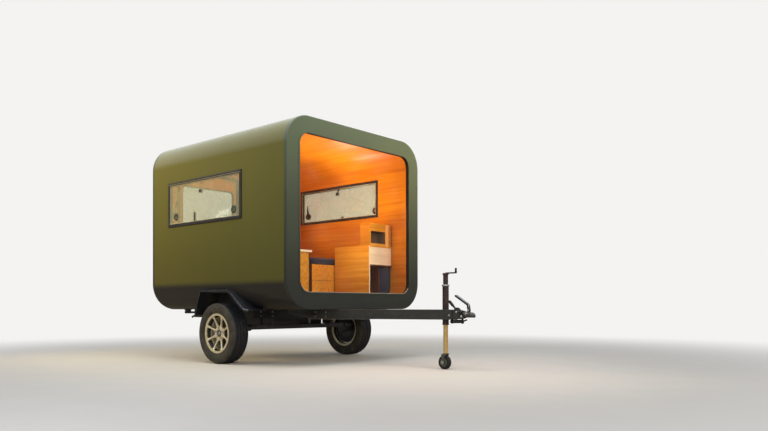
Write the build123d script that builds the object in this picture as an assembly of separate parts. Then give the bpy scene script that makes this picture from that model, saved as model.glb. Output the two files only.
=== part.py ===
from build123d import *
from math import cos, hypot, radians, sin
import os

os.makedirs("parts", exist_ok=True)

# A small single-axle camping trailer: a rounded-square tube body on a V-shaped
# drawbar, with a full-width front window and a door in the back.
# Millimetres. +X is forward to the coupling, +Y is left, +Z is up and z = 0 is the ground.
# While modelling, x = 0 is the front face of the body. save() moves the origin to mid-length.

# Body tube
body_width = 2000
body_length = 2349
body_low = 565
body_top = 2460
corner_radius = 290
skin = 22
lining_thick = 8
rear_trim_thick = 6
floor_thick = 85
wall_thick = 26
body_side = body_width / 2
body_height = body_top - body_low
body_mid = (body_top + body_low) / 2
inside = skin + lining_thick
wall_y = body_side - inside
floor_top = body_low + floor_thick
rear = -body_length

# End rims and the front window
rim_band = 157
rim_depth = 40
rim_round = 10
trim_thick = 12
gasket_width = 14
gasket_lip = 8
gasket_proud = 3
pane_thick = 5
pane_set_back = 22
pane_grip = 8

# Side windows: side (+1 left, -1 right), distance behind the front face, length,
# distance of the head below the roof, height
side_windows = [
    (-1, 685, 1325, 480, 491),
    (+1, 597, 1365, 340, 440),
]
window_flange = 30
window_proud = 9
window_sleeve = 10
window_clamp = 6
window_clamp_lap = 4
window_pane = 4
window_round = 3
hinge_rail = 14
knob_radius = 24
knob_inset = 62
knob_in = 14
stay_width = 12
stay_thick = 5
stay_reach = 265
stay_lean = 22
catch_width = 26
catch_drop = 50
catch_thick = 12
catch_handle = 58

# Rear door, hinged on the right
door_width = 855
door_above_floor = 98
door_below_roof = 242
door_from_side = 325
door_round = 60
door_thick = 28
door_set_in = 6
door_gap = 9
door_frame_wall = 12
door_frame_in = 6
door_stop = 14
door_stop_thick = 8
door_stop_gap = 7
door_window_width = 789
door_window_height = 526
door_window_drop = 142
door_window_side = 32
door_window_round = 70
door_window_band = 26
door_window_proud = 6
hinge_radius = 9
hinge_pin = 4.5
pin_play = 0.3
hinge_length = 84
hinge_out = 10
hinge_side = 22
hinge_plate = 5
hinge_reach = 58
hinge_leaf_reach = 30
hinge_low_rise = 182
hinge_middle_rise = 732
hinge_high_drop = 178
knuckle_gap = 1

# Door handle
handle_in = 78
handle_rise = 467
handle_width = 96
handle_height = 150
handle_deep = 12
dish_width = 72
dish_height = 84
dish_rise = 18
paddle_width = 66
paddle_height = 40
paddle_rise = 26
paddle_proud = 10
lock_radius = 13
lock_drop = 48
lock_proud = 5

# Wheels, 195/65 R15
axle_x = -1066
tyre_radius = 317.5
tyre_width = 195
tread_width = 160
tyre_wall = 9
tread_thick = 14
flange_radius = 208
flange_thick = 8
bead_radius = 190.5
bead_seat = 6
bead_lip = 4
bead_toe = 22
bulge_drop = 12
shoulder_drop = 16
shoulder_out = 12
rim_width = 152
rim_wall = 6
lip_width = 22
well_depth = 14
well_front = 24
well_rear = 34
wheel_offset = 30
spoke_count = 8
spoke_root_in = 12
spoke_root_width = 34
spoke_root_deep = 22
spoke_waist_radius = 122
spoke_waist_out = 34
spoke_waist_width = 16
spoke_waist_deep = 18
spoke_tip_in = 4
spoke_tip_width = 32
spoke_tip_deep = 22
spoke_round = 5
hub_radius = 74
hub_recess = 40
hub_thick = 27
hub_web = 14
hub_draft = 3
bolt_count = 5
bolt_circle = 112
bolt_hole = 14
bolt_pocket = 24
pocket_deep = 11
centre_bore = 57
drum_radius = 118
drum_width = 62
drum_wall = 10
dust_cap = 12
cap_round = 4
spindle_radius = 17

# Mudguards: a bent strip, as x and z of its outer side from the wheel centre
mudguard_bends = [
    (-420, 175.5),
    (-362, 194.5),
    (-323, 336.5),
    (-268, 452.5),
    (200, 452.5),
    (264, 418.5),
    (428, 283.5),
    (481, 250.5),
    (539, 244.5),
]
mudguard_rounds = [24, 24, 24, 24, 34, 64, 44]
mudguard_thick = 4
mudguard_reach = 50
mudguard_lip = 16
tyre_inside_guard = 9
box_clearance = 46
box_wall = 4
box_margin = 24

# Chassis
rail_height = 95
rail_wall = 6
rail_flange = 34
rail_half_front = 46
rail_half_rear = 505
rail_knee_behind_axle = 54
rail_end_margin = 109
ball_ahead_of_rails = 193
cross_front = -190
cross_flange = 40
outriggers = [-330, -1480]
outrigger_side = 300
outrigger_tip = 34
axle_tube = 50
axle_tube_round = 8
axle_ahead = 135
axle_drop = 95
axle_end_inset = 96
hanger_half = 75
cheek_thick = 6
arm_width = 34
arm_from_drum = 70
arm_eye = 38
spindle_eye = 40
arm_boss = 34
plate_thick = 4

# Water tank under the floor, between the rails, with a channel along its underside
tank_length = 580
tank_height = 190
tank_clear = 14
tank_round = 40
tank_wall = 8
channel_right = -290
channel_left = 90
channel_height = 56
drain_radius = 12
drain_in = 70

# Coupling with its overrun housing
ball_x = 1418
ball_drop = 11.5
ball_diameter = 50
cup_radius = 34
cup_cut = 15
housing_ahead = 75
housing_behind = 50
housing_round = 10
housing_play = 1
draw_tube = 25
nose_ring = 12
nose_length = 8
sleeve_wall = 6
sleeve_behind_ball = 78
sleeve_length = 28
collar_back = 12
collar_in = 5
collar_rise = 6
bellows_folds = 5
bellows_radius = 37
bellows_valley = 31
lug_half = 14
lug_thick = 14
handle_pin_back = 33
handle_pin_rise = 50
handle_pin = 5
brake_pin_back = 16
brake_pin_low = 25
brake_boss = 4
brake_plate = 6
boss_radius = 15
lever_width = 18
grip_extra = 2
grip_thick = 8
handle_play = 1.5
handle_cheek = 4
handle_width_small = 17
# Bends of the handle and the lever, as x and z from their pins, and where the grip starts
handle_bends = [(-10, 54), (-144, 137)]
lever_bends = [(-22, 38), (-79, 100)]
grip_from = (-44, 62)
quadrant_radius = 46
quadrant_thick = 3
quadrant_teeth = 9
tooth_radius = 2.5
tooth_start = 40
tooth_step = 9

# Jockey-wheel jack
jack_behind_rails = 104
jack_outer_radius = 30
jack_outer_top = 797
jack_outer_low = 420
jack_upper_radius = 24
jack_upper_top = 903
jack_inner_radius = 22
jack_wall = 3
jack_collar = 3
jack_collar_height = 14
jack_bore_roof = 40
jack_play = 0.5
clamp_half = 16
clamp_inset = 20
clamp_split = 1
jockey_radius = 66
jockey_width = 44
jockey_trail = 10
jockey_pin = 8
jockey_hub = 20
jockey_disc = 42
jockey_dish = 9
fork_clear = 7
fork_play = 4
fork_gap = 60
fork_plate = 5
fork_half = 18
fork_cap = 8
crank_stub = 7
crank_reach = 118
crank_grip = 44
crank_bar = 18
crank_thick = 7

# Furniture: distances from the front face, the left or right lining and the floor
cab_set_back = 366
cab_length = 552
cab_depth = 410
cab_height = 646
board = 15
fascia_height = 216
fascia_set_back = 4
cool_box_width = 170
cool_box_length = 380
cool_box_set_back = 34
cool_box_from_wall = 22
cool_box_clear = 20
cool_box_play = 3
box_gap = 12
wall_box_from_wall = 67
wall_box_width = 329
wall_box_height = 260
wall_box_depth = 150
wall_box_stile = 60
wall_box_head = 90
wall_box_sill = 30
batten_from_wall = 30
batten_width = 22
bench_gap = 22
bench_from_door = 4
bench_height = 438
bench_joint = 250
joint_width = 4
joint_deep = 3
cushion_thick = 84
cushion_gap = 0.3
cushion_margin = 5
counter_depth = 598
counter_height = 536
counter_overhang = 22
top_board = 22
battery_length = 330
battery_width = 172
battery_height = 220
battery_gap = 10

# Tail lamps and the two rear corner steadies
lamp_width = 90
lamp_height = 240
lamp_out = 30
lamp_base = 14
lamp_round = 20
lamp_lens_inset = 7
lamp_from_side = 79
lamp_rise = 335
steady_from_rear = 219
steady_from_side = 332
steady_length = 520
steady_width = 30
steady_half = 12
steady_wall = 4
steady_eye = 14
steady_pin = 6
steady_pin_drop = 34
steady_foot = 8
foot_half_width = 45
bracket_thick = 5
bracket_half = 32
cheek_gap = 1

# Places worked out from the sizes above
rail_low = body_low - rail_height
rail_front_x = ball_x - ball_ahead_of_rails
rail_knee_x = axle_x - rail_knee_behind_axle
rail_rear_x = rear + rail_end_margin
tube_z = (rail_low + body_low) / 2
ball_z = tube_z - ball_drop
housing_front = rail_front_x + housing_ahead
housing_rear = rail_front_x - housing_behind
jack_x = rail_front_x - jack_behind_rails
mudguard_outer_y = body_side + mudguard_reach
tyre_outer_y = mudguard_outer_y - tyre_inside_guard
wheel_mid_y = tyre_outer_y - tyre_width / 2
wheel_face_y = wheel_mid_y + wheel_offset
box_inner_y = tyre_outer_y - tyre_width - box_clearance
mudguard_points = [(axle_x + dx, tyre_radius + dz) for dx, dz in mudguard_bends]
nose_x = ball_x + cup_radius
tail_x = rear - lamp_out
origin_x = (nose_x + tail_x) / 2


def outline(inset):
    """The rounded-square section of the body, drawn in by inset."""
    width = body_width - 2 * inset
    height = body_height - 2 * inset
    return Pos(0, body_mid) * RectangleRounded(width, height, corner_radius - inset)


def along_x(section, x_low, x_high):
    """Extrude a section drawn in Y, Z between two places along the body."""
    plane = Plane((x_low, 0, 0), x_dir=(0, 1, 0), z_dir=(1, 0, 0))
    return extrude(plane * section, x_high - x_low)


def along_y(section, y_low, y_high):
    """Extrude a section drawn in X, Z from one side to the other."""
    plane = Plane((0, y_high, 0), x_dir=(1, 0, 0), z_dir=(0, -1, 0))
    return extrude(plane * section, y_high - y_low)


def along_z(section, z_low, z_high):
    """Extrude a section drawn in X, Y between two heights."""
    return extrude(Pos(0, 0, z_low) * section, z_high - z_low)


def block(x_low, x_high, y_low, y_high, z_low, z_high):
    """A plain block between two corners."""
    middle = Pos((x_low + x_high) / 2, (y_low + y_high) / 2, (z_low + z_high) / 2)
    return middle * Box(x_high - x_low, y_high - y_low, z_high - z_low)


def rod_x(y, z, x_low, x_high, radius):
    """A round bar along the trailer."""
    return along_x(Pos(y, z) * Circle(radius), x_low, x_high)


def rod_y(x, z, y_low, y_high, radius):
    """A round bar across the trailer."""
    return along_y(Pos(x, z) * Circle(radius), y_low, y_high)


def rod_z(x, y, z_low, z_high, radius):
    """An upright round bar."""
    return along_z(Pos(x, y) * Circle(radius), z_low, z_high)


def panel(low_1, high_1, low_2, high_2, inset, corner=0):
    """A rectangle between two corners, drawn in by inset, with rounded corners if asked."""
    middle = Pos((low_1 + high_1) / 2, (low_2 + high_2) / 2)
    width = high_1 - low_1 - 2 * inset
    height = high_2 - low_2 - 2 * inset
    if corner > inset:
        return middle * RectangleRounded(width, height, corner - inset)
    return middle * Rectangle(width, height)


def strip(points, near, far):
    """A band along a bent line, between two distances to its left, with mitred bends."""
    units = []
    for (x0, y0), (x1, y1) in zip(points, points[1:]):
        length = hypot(x1 - x0, y1 - y0)
        units.append(((x1 - x0) / length, (y1 - y0) / length))
    edges = []
    for distance in (near, far):
        row = []
        for i, (x, y) in enumerate(points):
            before = units[max(i - 1, 0)]
            after = units[min(i, len(units) - 1)]
            side = (-before[1] - after[1], before[0] + after[0])
            scale = distance * 2 / (side[0] ** 2 + side[1] ** 2)
            row.append((x + side[0] * scale, y + side[1] * scale))
        edges.append(row)
    return make_face(Polyline(*edges[0], *reversed(edges[1]), close=True))


def mirrored(shape):
    """The same piece on the right-hand side."""
    return mirror(shape, about=Plane.XZ)


def on_side(side, shape):
    """A piece drawn on the left, put on its own side."""
    return shape if side > 0 else mirrored(shape)


def largest(shape):
    """The main solid of a piece that trimming has cut apart."""
    return shape.solids().sort_by(SortBy.VOLUME)[-1]


def save(name, shape):
    """Write one piece, with the origin on the ground at mid-length."""
    shape = Pos(-origin_x, 0, 0) * shape
    shape.label = name
    export_step(shape, "parts/" + name + ".step")


# Wheel housings, cut out of the lower corners of the body
def housing_area(inset):
    """The bent outline above the wheel, drawn inside the mudguard by the margin."""
    rear_bend, roof_rear, roof_front = mudguard_points[2:5]
    foot, front_bend = mudguard_points[6:8]
    x_low = rear_bend[0] + box_margin + inset
    z_top = roof_rear[1] - box_margin - inset
    x_end = front_bend[0] - 2 * box_margin - inset
    corners = [
        (x_low, rail_low),
        (x_low, rear_bend[1]),
        (roof_rear[0] + box_margin + inset, z_top),
        (roof_front[0] - box_margin, z_top),
        (foot[0] - box_margin - inset, foot[1]),
        (x_end, front_bend[1] - inset),
        (x_end, rail_low),
    ]
    return make_face(Polyline(*corners, close=True))


housing_hole = along_y(housing_area(0), box_inner_y, body_side + skin)
housing_holes = housing_hole + mirrored(housing_hole)


def window_places(set_back, length, drop, height):
    """A side window's rear end, front end, sill and head."""
    head = body_top - drop
    return -set_back - length, -set_back, head - height, head


# Outer skin of the body, a sandwich tube between the two end rims, with its lining and floor
shell = along_x(outline(0) - outline(skin), rear + rim_depth, -rim_depth)
lining_rear = rear + rim_depth + rear_trim_thick
lining_front = -rim_depth - trim_thick
above_floor = Pos(0, (floor_top + body_top) / 2) * Rectangle(body_width, body_top - floor_top)
lining = along_x((outline(skin) - outline(inside)) & above_floor, lining_rear, lining_front)
floor_area = Pos(0, (floor_top + body_low) / 2) * Rectangle(body_width, floor_thick)
floor = along_x(outline(skin) & floor_area, lining_rear, lining_front)
for side, *size in side_windows:
    hole = panel(*window_places(*size), window_flange - window_sleeve)
    cut = on_side(side, along_y(hole, wall_y - inside, body_side + skin))
    shell -= cut
    lining -= cut
save("body_shell", shell - housing_holes)
save("lining", lining - housing_holes)
save("floor", floor - housing_holes)

# Rims at both ends, with their outer edges rounded
front_rim = along_x(outline(0) - outline(rim_band), -rim_depth, 0)
front_edges = front_rim.faces().sort_by(Axis.X)[-1].outer_wire().edges()
rear_rim = along_x(outline(0) - outline(rim_band), rear, rear + rim_depth)
rear_edges = rear_rim.faces().sort_by(Axis.X)[0].outer_wire().edges()
save("front_rim", fillet(front_edges, rim_round))
save("rear_rim", fillet(rear_edges, rim_round))

# Front window: a clear pane held all round in a rubber gasket, and a bare plywood trim behind
pane = along_x(outline(rim_band + pane_grip), -pane_set_back - pane_thick, -pane_set_back)
gasket_inside = outline(rim_band + gasket_width)
gasket = along_x(outline(rim_band) - gasket_inside, -rim_depth, gasket_proud)
gasket += along_x(outline(rim_band - gasket_lip) - gasket_inside, 0, gasket_proud)
trim_area = outline(skin) - outline(rim_band + gasket_width / 2)
save("front_window", pane)
save("front_gasket", gasket - pane)
save("front_trim", along_x(trim_area, lining_front, -rim_depth))

# Rear wall and its inner lining, with the door opening through both
door_right = -body_side + door_from_side
door_left = door_right + door_width
door_low = floor_top + door_above_floor
door_top = body_top - door_below_roof


def door_area(grow):
    """The door's outline, grown by a distance all round."""
    return panel(door_right, door_left, door_low, door_top, -grow, door_round)


door_hole = door_area(door_gap + door_frame_wall)
wall_out = rear + door_set_in
save("rear_wall", along_x(outline(rim_band) - door_hole, wall_out, wall_out + wall_thick))
save("rear_trim", along_x(outline(skin) - door_hole, rear + rim_depth, lining_rear))

# Door frame with the stop that the leaf closes against
leaf_in = wall_out + door_thick
stop_out = leaf_in + door_stop_gap
door_frame = along_x(door_hole - door_area(door_gap), wall_out, lining_rear + door_frame_in)
door_frame += along_x(door_hole - door_area(-door_stop), stop_out, stop_out + door_stop_thick)
save("door_frame", door_frame)

# Door leaf with its window
glass_left = door_left - door_window_side
glass_top = door_top - door_window_drop
glass_places = (glass_left - door_window_width, glass_left, glass_top - door_window_height, glass_top)


def door_glass(inset):
    """The door window's outline, drawn in by inset."""
    return panel(*glass_places, inset, door_window_round)


leaf_hole = door_glass(door_window_band - window_sleeve)
clear_hole = door_glass(door_window_band)
pane_out = wall_out + window_pane
door_pane = along_x(door_glass(door_window_band - window_sleeve / 2), pane_out, pane_out + window_pane)
window_frame = along_x(door_glass(0) - clear_hole, wall_out - door_window_proud, wall_out)
window_frame += along_x(leaf_hole - clear_hole, wall_out, leaf_in)
save("door_leaf", along_x(door_area(0) - leaf_hole, wall_out, leaf_in))
save("door_window_frame", window_frame - door_pane)
save("door_pane", door_pane)

# Door handle: a dished plate with a paddle across it and a lock barrel below
handle_y = door_left - handle_in
handle_z = door_low + handle_rise
handle_out = wall_out - handle_deep
dish_floor = wall_out - hinge_plate
plate = Pos(handle_y, handle_z) * RectangleRounded(handle_width, handle_height, dish_rise)
dish = Pos(handle_y, handle_z + dish_rise) * RectangleRounded(dish_width, dish_height, handle_deep)
paddle_area = RectangleRounded(paddle_width, paddle_height, paddle_proud)
paddle = Pos(handle_y, handle_z + paddle_rise) * paddle_area
door_handle = along_x(plate, handle_out, wall_out) - along_x(dish, handle_out, dish_floor)
door_handle += along_x(paddle, handle_out - paddle_proud, dish_floor)
door_handle += rod_x(handle_y, handle_z - lock_drop, handle_out - lock_proud, handle_out, lock_radius)
save("door_handle", door_handle)

# Hinges: a middle knuckle on the leaf, two knuckles and a pin on the wall
hinge_x = wall_out - hinge_out
hinge_y = door_right - hinge_side
third = hinge_length / 3
leaf_hinges = Part()
wall_hinges = Part()
for z in (door_low + hinge_low_rise, door_low + hinge_middle_rise, door_top - hinge_high_drop):
    low = z - third / 2
    high = z + third / 2
    knuckle = rod_z(hinge_x, hinge_y, low, high, hinge_radius)
    arm_out = hinge_x - hinge_plate / 2
    knuckle += block(arm_out, arm_out + hinge_plate, hinge_y, door_right + hinge_plate, low, high)
    knuckle += block(arm_out, wall_out, door_right, door_right + hinge_plate, low, high)
    knuckle += block(wall_out - hinge_plate, wall_out, door_right, door_right + hinge_leaf_reach, low, high)
    leaf_hinges += knuckle - rod_z(hinge_x, hinge_y, low, high, hinge_pin + pin_play)
    for ear_low in (z - hinge_length / 2, high + knuckle_gap):
        ear_high = ear_low + third - knuckle_gap
        ear = rod_z(hinge_x, hinge_y, ear_low, ear_high, hinge_radius)
        ear += block(hinge_x, wall_out, hinge_y - hinge_radius, hinge_y, ear_low, ear_high)
        ear += block(wall_out - hinge_plate, wall_out, hinge_y - hinge_reach, hinge_y - hinge_plate,
                     ear_low, ear_high)
        wall_hinges += ear
    wall_hinges += rod_z(hinge_x, hinge_y, z - hinge_length / 2, z + hinge_length / 2, hinge_pin)
save("door_hinges", leaf_hinges)
save("wall_hinges", wall_hinges)

# Side windows: outer flange with a hinge rail, sleeve through the wall, inner clamp ring and pane
frames = Part()
panes = Part()
fittings = Part()
pane_in = body_side - window_pane
for side, *size in side_windows:
    x_rear, x_front, z_sill, z_head = places = window_places(*size)
    clear = panel(*places, window_flange)
    frame = along_y(panel(*places, 0), body_side, body_side + window_proud)
    frame = fillet(frame.faces().sort_by(Axis.Y)[-1].edges(), window_round)
    frame += rod_x(body_side + window_proud, z_head - hinge_rail / 2, x_rear, x_front, hinge_rail / 2)
    frame += along_y(panel(*places, window_flange - window_sleeve), wall_y, body_side)
    frame += along_y(panel(*places, -window_clamp_lap), wall_y - window_clamp, wall_y)
    frame -= along_y(clear, wall_y - window_clamp, body_side + window_proud + hinge_rail)
    glass = along_y(panel(*places, window_flange - window_sleeve / 2), pane_in, body_side)
    # Stay knobs in the lower corners with their arms, and a catch at the head and sill
    fitting = Part()
    knob_z = z_sill + knob_inset
    for x_end, inwards in ((x_rear, 1), (x_front, -1)):
        knob_x = x_end + inwards * knob_inset
        top_x = knob_x + inwards * stay_lean
        top_z = knob_z + stay_reach
        fitting += rod_y(knob_x, knob_z, wall_y - knob_in, pane_in, knob_radius)
        arm = strip([(knob_x, knob_z), (top_x, top_z)], -stay_width / 2, stay_width / 2)
        fitting += along_y(arm, wall_y + stay_thick, wall_y + 2 * stay_thick)
        jamb = x_end + inwards * window_flange
        fitting += block(min(jamb, top_x), max(jamb, top_x), wall_y + stay_thick, wall_y + 2 * stay_thick,
                         top_z - stay_width, top_z)
        fitting += rod_y(top_x, top_z - stay_width / 2, wall_y, wall_y + 2 * stay_thick, stay_width)
    middle = (x_front + x_rear) / 2
    half = catch_width / 2
    head = z_head - window_flange
    sill = z_sill + window_flange
    fitting += block(middle - half, middle + half, wall_y + catch_thick, pane_in, head - catch_drop, head)
    fitting += block(middle - half, middle + half, wall_y + catch_thick, pane_in, sill, sill + catch_drop)
    fitting += block(middle - half, middle + half / 3, wall_y, wall_y + catch_thick,
                     head - catch_handle, head - catch_drop / 2)
    fitting += block(middle - half, middle + half / 3, wall_y, wall_y + catch_thick,
                     sill + catch_drop / 2, sill + catch_handle)
    frames += on_side(side, frame - glass)
    panes += on_side(side, glass)
    fittings += on_side(side, fitting)
save("side_window_frames", frames)
save("side_window_panes", panes)
save("side_window_catches", fittings)

# Mudguards: a bent strip outside the body, with a lip along its outer edge
guard_line = FilletPolyline(*mudguard_points, radius=mudguard_rounds)
band = make_face(guard_line.offset_2d(mudguard_thick, side=Side.RIGHT, closed=True))
lip = make_face(guard_line.offset_2d(mudguard_thick + mudguard_lip, side=Side.RIGHT, closed=True))
guard = along_y(band, box_inner_y, mudguard_outer_y)
guard += along_y(lip, mudguard_outer_y - mudguard_thick, mudguard_outer_y)
guard = largest(guard - along_x(outline(0), rear, 0))
save("mudguards", guard + mirrored(guard))

# Wheel boxes that close the housings inside the body
box_solid = along_y(housing_area(0), box_inner_y, body_side)
box_space = along_y(housing_area(box_wall), box_inner_y + box_wall, body_side + skin)
wheel_box = largest((box_solid - box_space) & along_x(outline(0), rear, 0))
save("wheel_boxes", wheel_box + mirrored(wheel_box))

# Chassis: two channel rails that run straight from the coupling to the axle and then back
rail_path = [(rail_front_x, rail_half_front), (rail_knee_x, rail_half_rear), (rail_rear_x, rail_half_rear)]
web = strip(rail_path, 0, rail_wall)
plate_area = strip(rail_path, 0, rail_flange)
rail = along_z(web, rail_low, body_low)
rail += along_z(plate_area, rail_low, rail_low + rail_wall)
rail += along_z(plate_area, body_low - rail_wall, body_low)


def rail_y(x):
    """Outer side of the left rail at a place along the body."""
    (x0, y0), (x1, y1) = rail_path[0:2] if x > rail_knee_x else rail_path[1:3]
    return y0 + (y1 - y0) * (x - x0) / (x1 - x0)


# Outriggers: tapered brackets from the rails out under the edges of the floor
outrigger_y = body_side - outrigger_side
for x in outriggers:
    root_y = rail_y(x) - 2 * rail_wall
    corners = [(root_y, rail_low), (root_y, body_low), (outrigger_y, body_low)]
    corners.append((outrigger_y, body_low - outrigger_tip))
    rail += along_x(make_face(Polyline(*corners, close=True)), x, x + rail_wall)
    rail += block(x, x + cross_flange, root_y, outrigger_y, body_low - rail_wall, body_low)
chassis = rail + mirrored(rail)
for x in (cross_front, rail_rear_x):
    half = rail_y(x) - 2 * rail_wall
    chassis += block(x, x + rail_wall, -half, half, rail_low, body_low)
    chassis += block(x, x + cross_flange, -half, half, rail_low, rail_low + rail_wall)
    chassis += block(x, x + cross_flange, -half, half, body_low - rail_wall, body_low)
save("chassis", chassis)

# Axle: a square tube under the rails, with a hanger at each rail
tube_x = axle_x + axle_ahead
axle_z = rail_low - axle_drop
drum_back = wheel_face_y - drum_width - drum_wall
arm_inner_y = drum_back - arm_from_drum - arm_width
axle_end_y = arm_inner_y - axle_end_inset
axle = along_y(Pos(tube_x, axle_z) * RectangleRounded(axle_tube, axle_tube, axle_tube_round),
               -axle_end_y, axle_end_y)
hanger_y = rail_y(tube_x) - rail_flange / 2
hanger_low = hanger_y - rail_flange / 2
hanger_high = hanger_y + rail_flange / 2
hanger = block(tube_x - hanger_half, tube_x + hanger_half, hanger_low, hanger_high,
               axle_z + axle_tube / 2, rail_low)
for end in (-1, 1):
    cheek_x = tube_x + end * (axle_tube + cheek_thick) / 2
    hanger += block(cheek_x - cheek_thick / 2, cheek_x + cheek_thick / 2, hanger_low, hanger_high,
                    axle_z - axle_tube / 4, rail_low)
save("axle", axle + hanger + mirrored(hanger))

# Water tank: a hollow moulding behind the axle, with an open drain in its right-hand half
tank_front = tube_x - hanger_half - tank_clear
tank_mid = tank_front - tank_length / 2
tank_half = rail_half_rear - rail_flange - tank_clear
tank_low = body_low - tank_height


def tank_form(inset):
    """The tank drawn in by inset, less the channel."""
    area = RectangleRounded(tank_length - 2 * inset, 2 * (tank_half - inset), tank_round - inset)
    form = along_z(Pos(tank_mid, 0) * area, tank_low + inset, body_low - inset)
    return form - block(tank_front - tank_length, tank_front, channel_right - inset, channel_left + inset,
                        tank_low, tank_low + channel_height + inset)


drain = rod_z(tank_mid, drain_in - tank_half, tank_low, tank_low + 2 * tank_wall, drain_radius)
save("water_tank", tank_form(0) - tank_form(tank_wall) - drain)

# Trailing arm with its spindle and the brake back plate, one at each end of the axle
arm_out = arm_inner_y + arm_width
eyes = Pos(tube_x, axle_z) * Circle(arm_eye) + Pos(axle_x, tyre_radius) * Circle(spindle_eye)
arm = along_y(make_hull(eyes.edges()), arm_inner_y, arm_out)
arm += rod_y(tube_x, axle_z, axle_end_y, arm_inner_y, arm_eye)
arm += rod_y(axle_x, tyre_radius, arm_out, drum_back + plate_thick, arm_boss)
arm += rod_y(axle_x, tyre_radius, drum_back, drum_back + plate_thick, drum_radius - plate_thick)
arm += rod_y(axle_x, tyre_radius, drum_back, wheel_face_y - plate_thick, spindle_radius)
save("suspension_arms", arm + mirrored(arm))


def about_axle(points):
    """Revolve points of radius and y about the wheel's axis."""
    plane = Plane((axle_x, 0, tyre_radius), x_dir=(0, 0, 1), z_dir=(1, 0, 0))
    face = plane * make_face(Polyline(*[(radius, -y) for radius, y in points], close=True))
    return revolve(face, Axis((axle_x, 0, tyre_radius), (0, 1, 0)), 360)


# Brake drum with its hub and a dust cap over the end of the spindle
drum_low = wheel_face_y - drum_width
drum_floor = wheel_face_y - drum_wall
spigot = centre_bore / 2 - pin_play
drum_points = [
    (0, wheel_face_y),
    (0, wheel_face_y + dust_cap),
    (spigot - cap_round, wheel_face_y + dust_cap),
    (spigot, wheel_face_y + dust_cap - cap_round),
    (spigot, wheel_face_y),
    (drum_radius - drum_wall / 2, wheel_face_y),
    (drum_radius, wheel_face_y - drum_wall / 2),
    (drum_radius, drum_low),
    (drum_radius - drum_wall, drum_low),
    (drum_radius - drum_wall, drum_floor),
    (spindle_eye, drum_floor),
    (arm_boss, drum_low + drum_wall / 2),
    (spindle_radius + pin_play, drum_low + drum_wall / 2),
    (spindle_radius + pin_play, wheel_face_y),
]
drum = about_axle(drum_points)

# Alloy wheel, the piece that takes most care: a rim with its lips, bead seats and drop well,
# and slim spokes that flare out of the hub, narrow at the waist and flare again into the rim
edge = rim_width / 2 + flange_thick
seat = rim_width / 2
well_radius = bead_radius - well_depth
# Rim section: distance from the wheel's middle, radius outside, radius inside
rim_section = [
    (-edge, flange_radius, flange_radius - rim_wall),
    (-seat, flange_radius, bead_radius - rim_wall),
    (bead_seat - seat, bead_radius, bead_radius - rim_wall),
    (-well_rear, well_radius, well_radius - rim_wall),
    (well_front, well_radius, well_radius - rim_wall),
    (seat - bead_seat, bead_radius, bead_radius - rim_wall),
    (seat, flange_radius, bead_radius - rim_wall),
    (edge, flange_radius, flange_radius - lip_width),
]
rim_points = [(outer, wheel_mid_y + y) for y, outer, inner in rim_section]
rim_points += [(inner, wheel_mid_y + y) for y, outer, inner in reversed(rim_section)]
wheel = about_axle(rim_points)
hub_face = wheel_face_y + hub_thick
hub_floor = wheel_face_y + hub_web
hub_points = [
    (centre_bore / 2, wheel_face_y),
    (hub_radius, wheel_face_y),
    (hub_radius + hub_draft, hub_floor),
    (hub_radius - hub_draft, hub_face),
    (hub_recess, hub_face),
    (hub_recess - hub_draft, hub_floor),
    (centre_bore / 2, hub_floor),
]
wheel += about_axle(hub_points)
# Spoke sections: radius, outer side's distance from the mounting face, width, depth
spoke_sections = [
    (hub_radius - spoke_root_in, hub_thick - hub_draft, spoke_root_width, spoke_root_deep),
    (spoke_waist_radius, spoke_waist_out, spoke_waist_width, spoke_waist_deep),
    (bead_radius - rim_wall, edge - wheel_offset - spoke_tip_in, spoke_tip_width, spoke_tip_deep),
]
sections = []
for radius, out, width, deep in spoke_sections:
    plane = Plane((0, wheel_face_y + out - deep / 2, radius), x_dir=(1, 0, 0), z_dir=(0, 0, 1))
    sections.append(plane * RectangleRounded(width, deep, spoke_round))
spoke = loft(sections)
for i in range(spoke_count):
    wheel += Pos(axle_x, 0, tyre_radius) * Rot(0, 360 / spoke_count * (i + 0.5), 0) * spoke
for i in range(bolt_count):
    angle = radians(360 / bolt_count * i + 90)
    x = axle_x + bolt_circle / 2 * cos(angle)
    z = tyre_radius + bolt_circle / 2 * sin(angle)
    wheel -= rod_y(x, z, wheel_face_y, hub_face, bolt_hole / 2)
    wheel -= rod_y(x, z, hub_face - pocket_deep, hub_face, bolt_pocket / 2)
wheel = largest(wheel)

# Tyre: a hollow section with a nearly flat tread and bulging walls, drawn for half its width
half_tyre = tyre_width / 2
half_tread = tread_width / 2
bulge_radius = (flange_radius + tyre_radius) / 2 - bulge_drop
shoulder_radius = tyre_radius - shoulder_drop
outer_side = [
    (bead_radius, seat - bead_seat),
    (flange_radius, seat),
    (flange_radius + bead_lip, seat + tyre_wall),
    (bulge_radius, half_tyre),
    (shoulder_radius, half_tread + shoulder_out),
    (tyre_radius, half_tread - shoulder_out),
]
inner_side = [
    (tyre_radius - tread_thick, half_tread - shoulder_out),
    (bulge_radius, half_tyre - tyre_wall),
    (bead_radius, seat - bead_toe),
]
section = [(radius, wheel_mid_y + y) for radius, y in outer_side]
section += [(radius, wheel_mid_y - y) for radius, y in reversed(outer_side)]
section += [(radius, wheel_mid_y - y) for radius, y in reversed(inner_side)]
section += [(radius, wheel_mid_y + y) for radius, y in inner_side]
tyre = about_axle(section)
for name, side in (("left", 1), ("right", -1)):
    save("brake_drum_" + name, on_side(side, drum))
    save("wheel_" + name, on_side(side, wheel))
    save("tyre_" + name, on_side(side, tyre))

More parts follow.
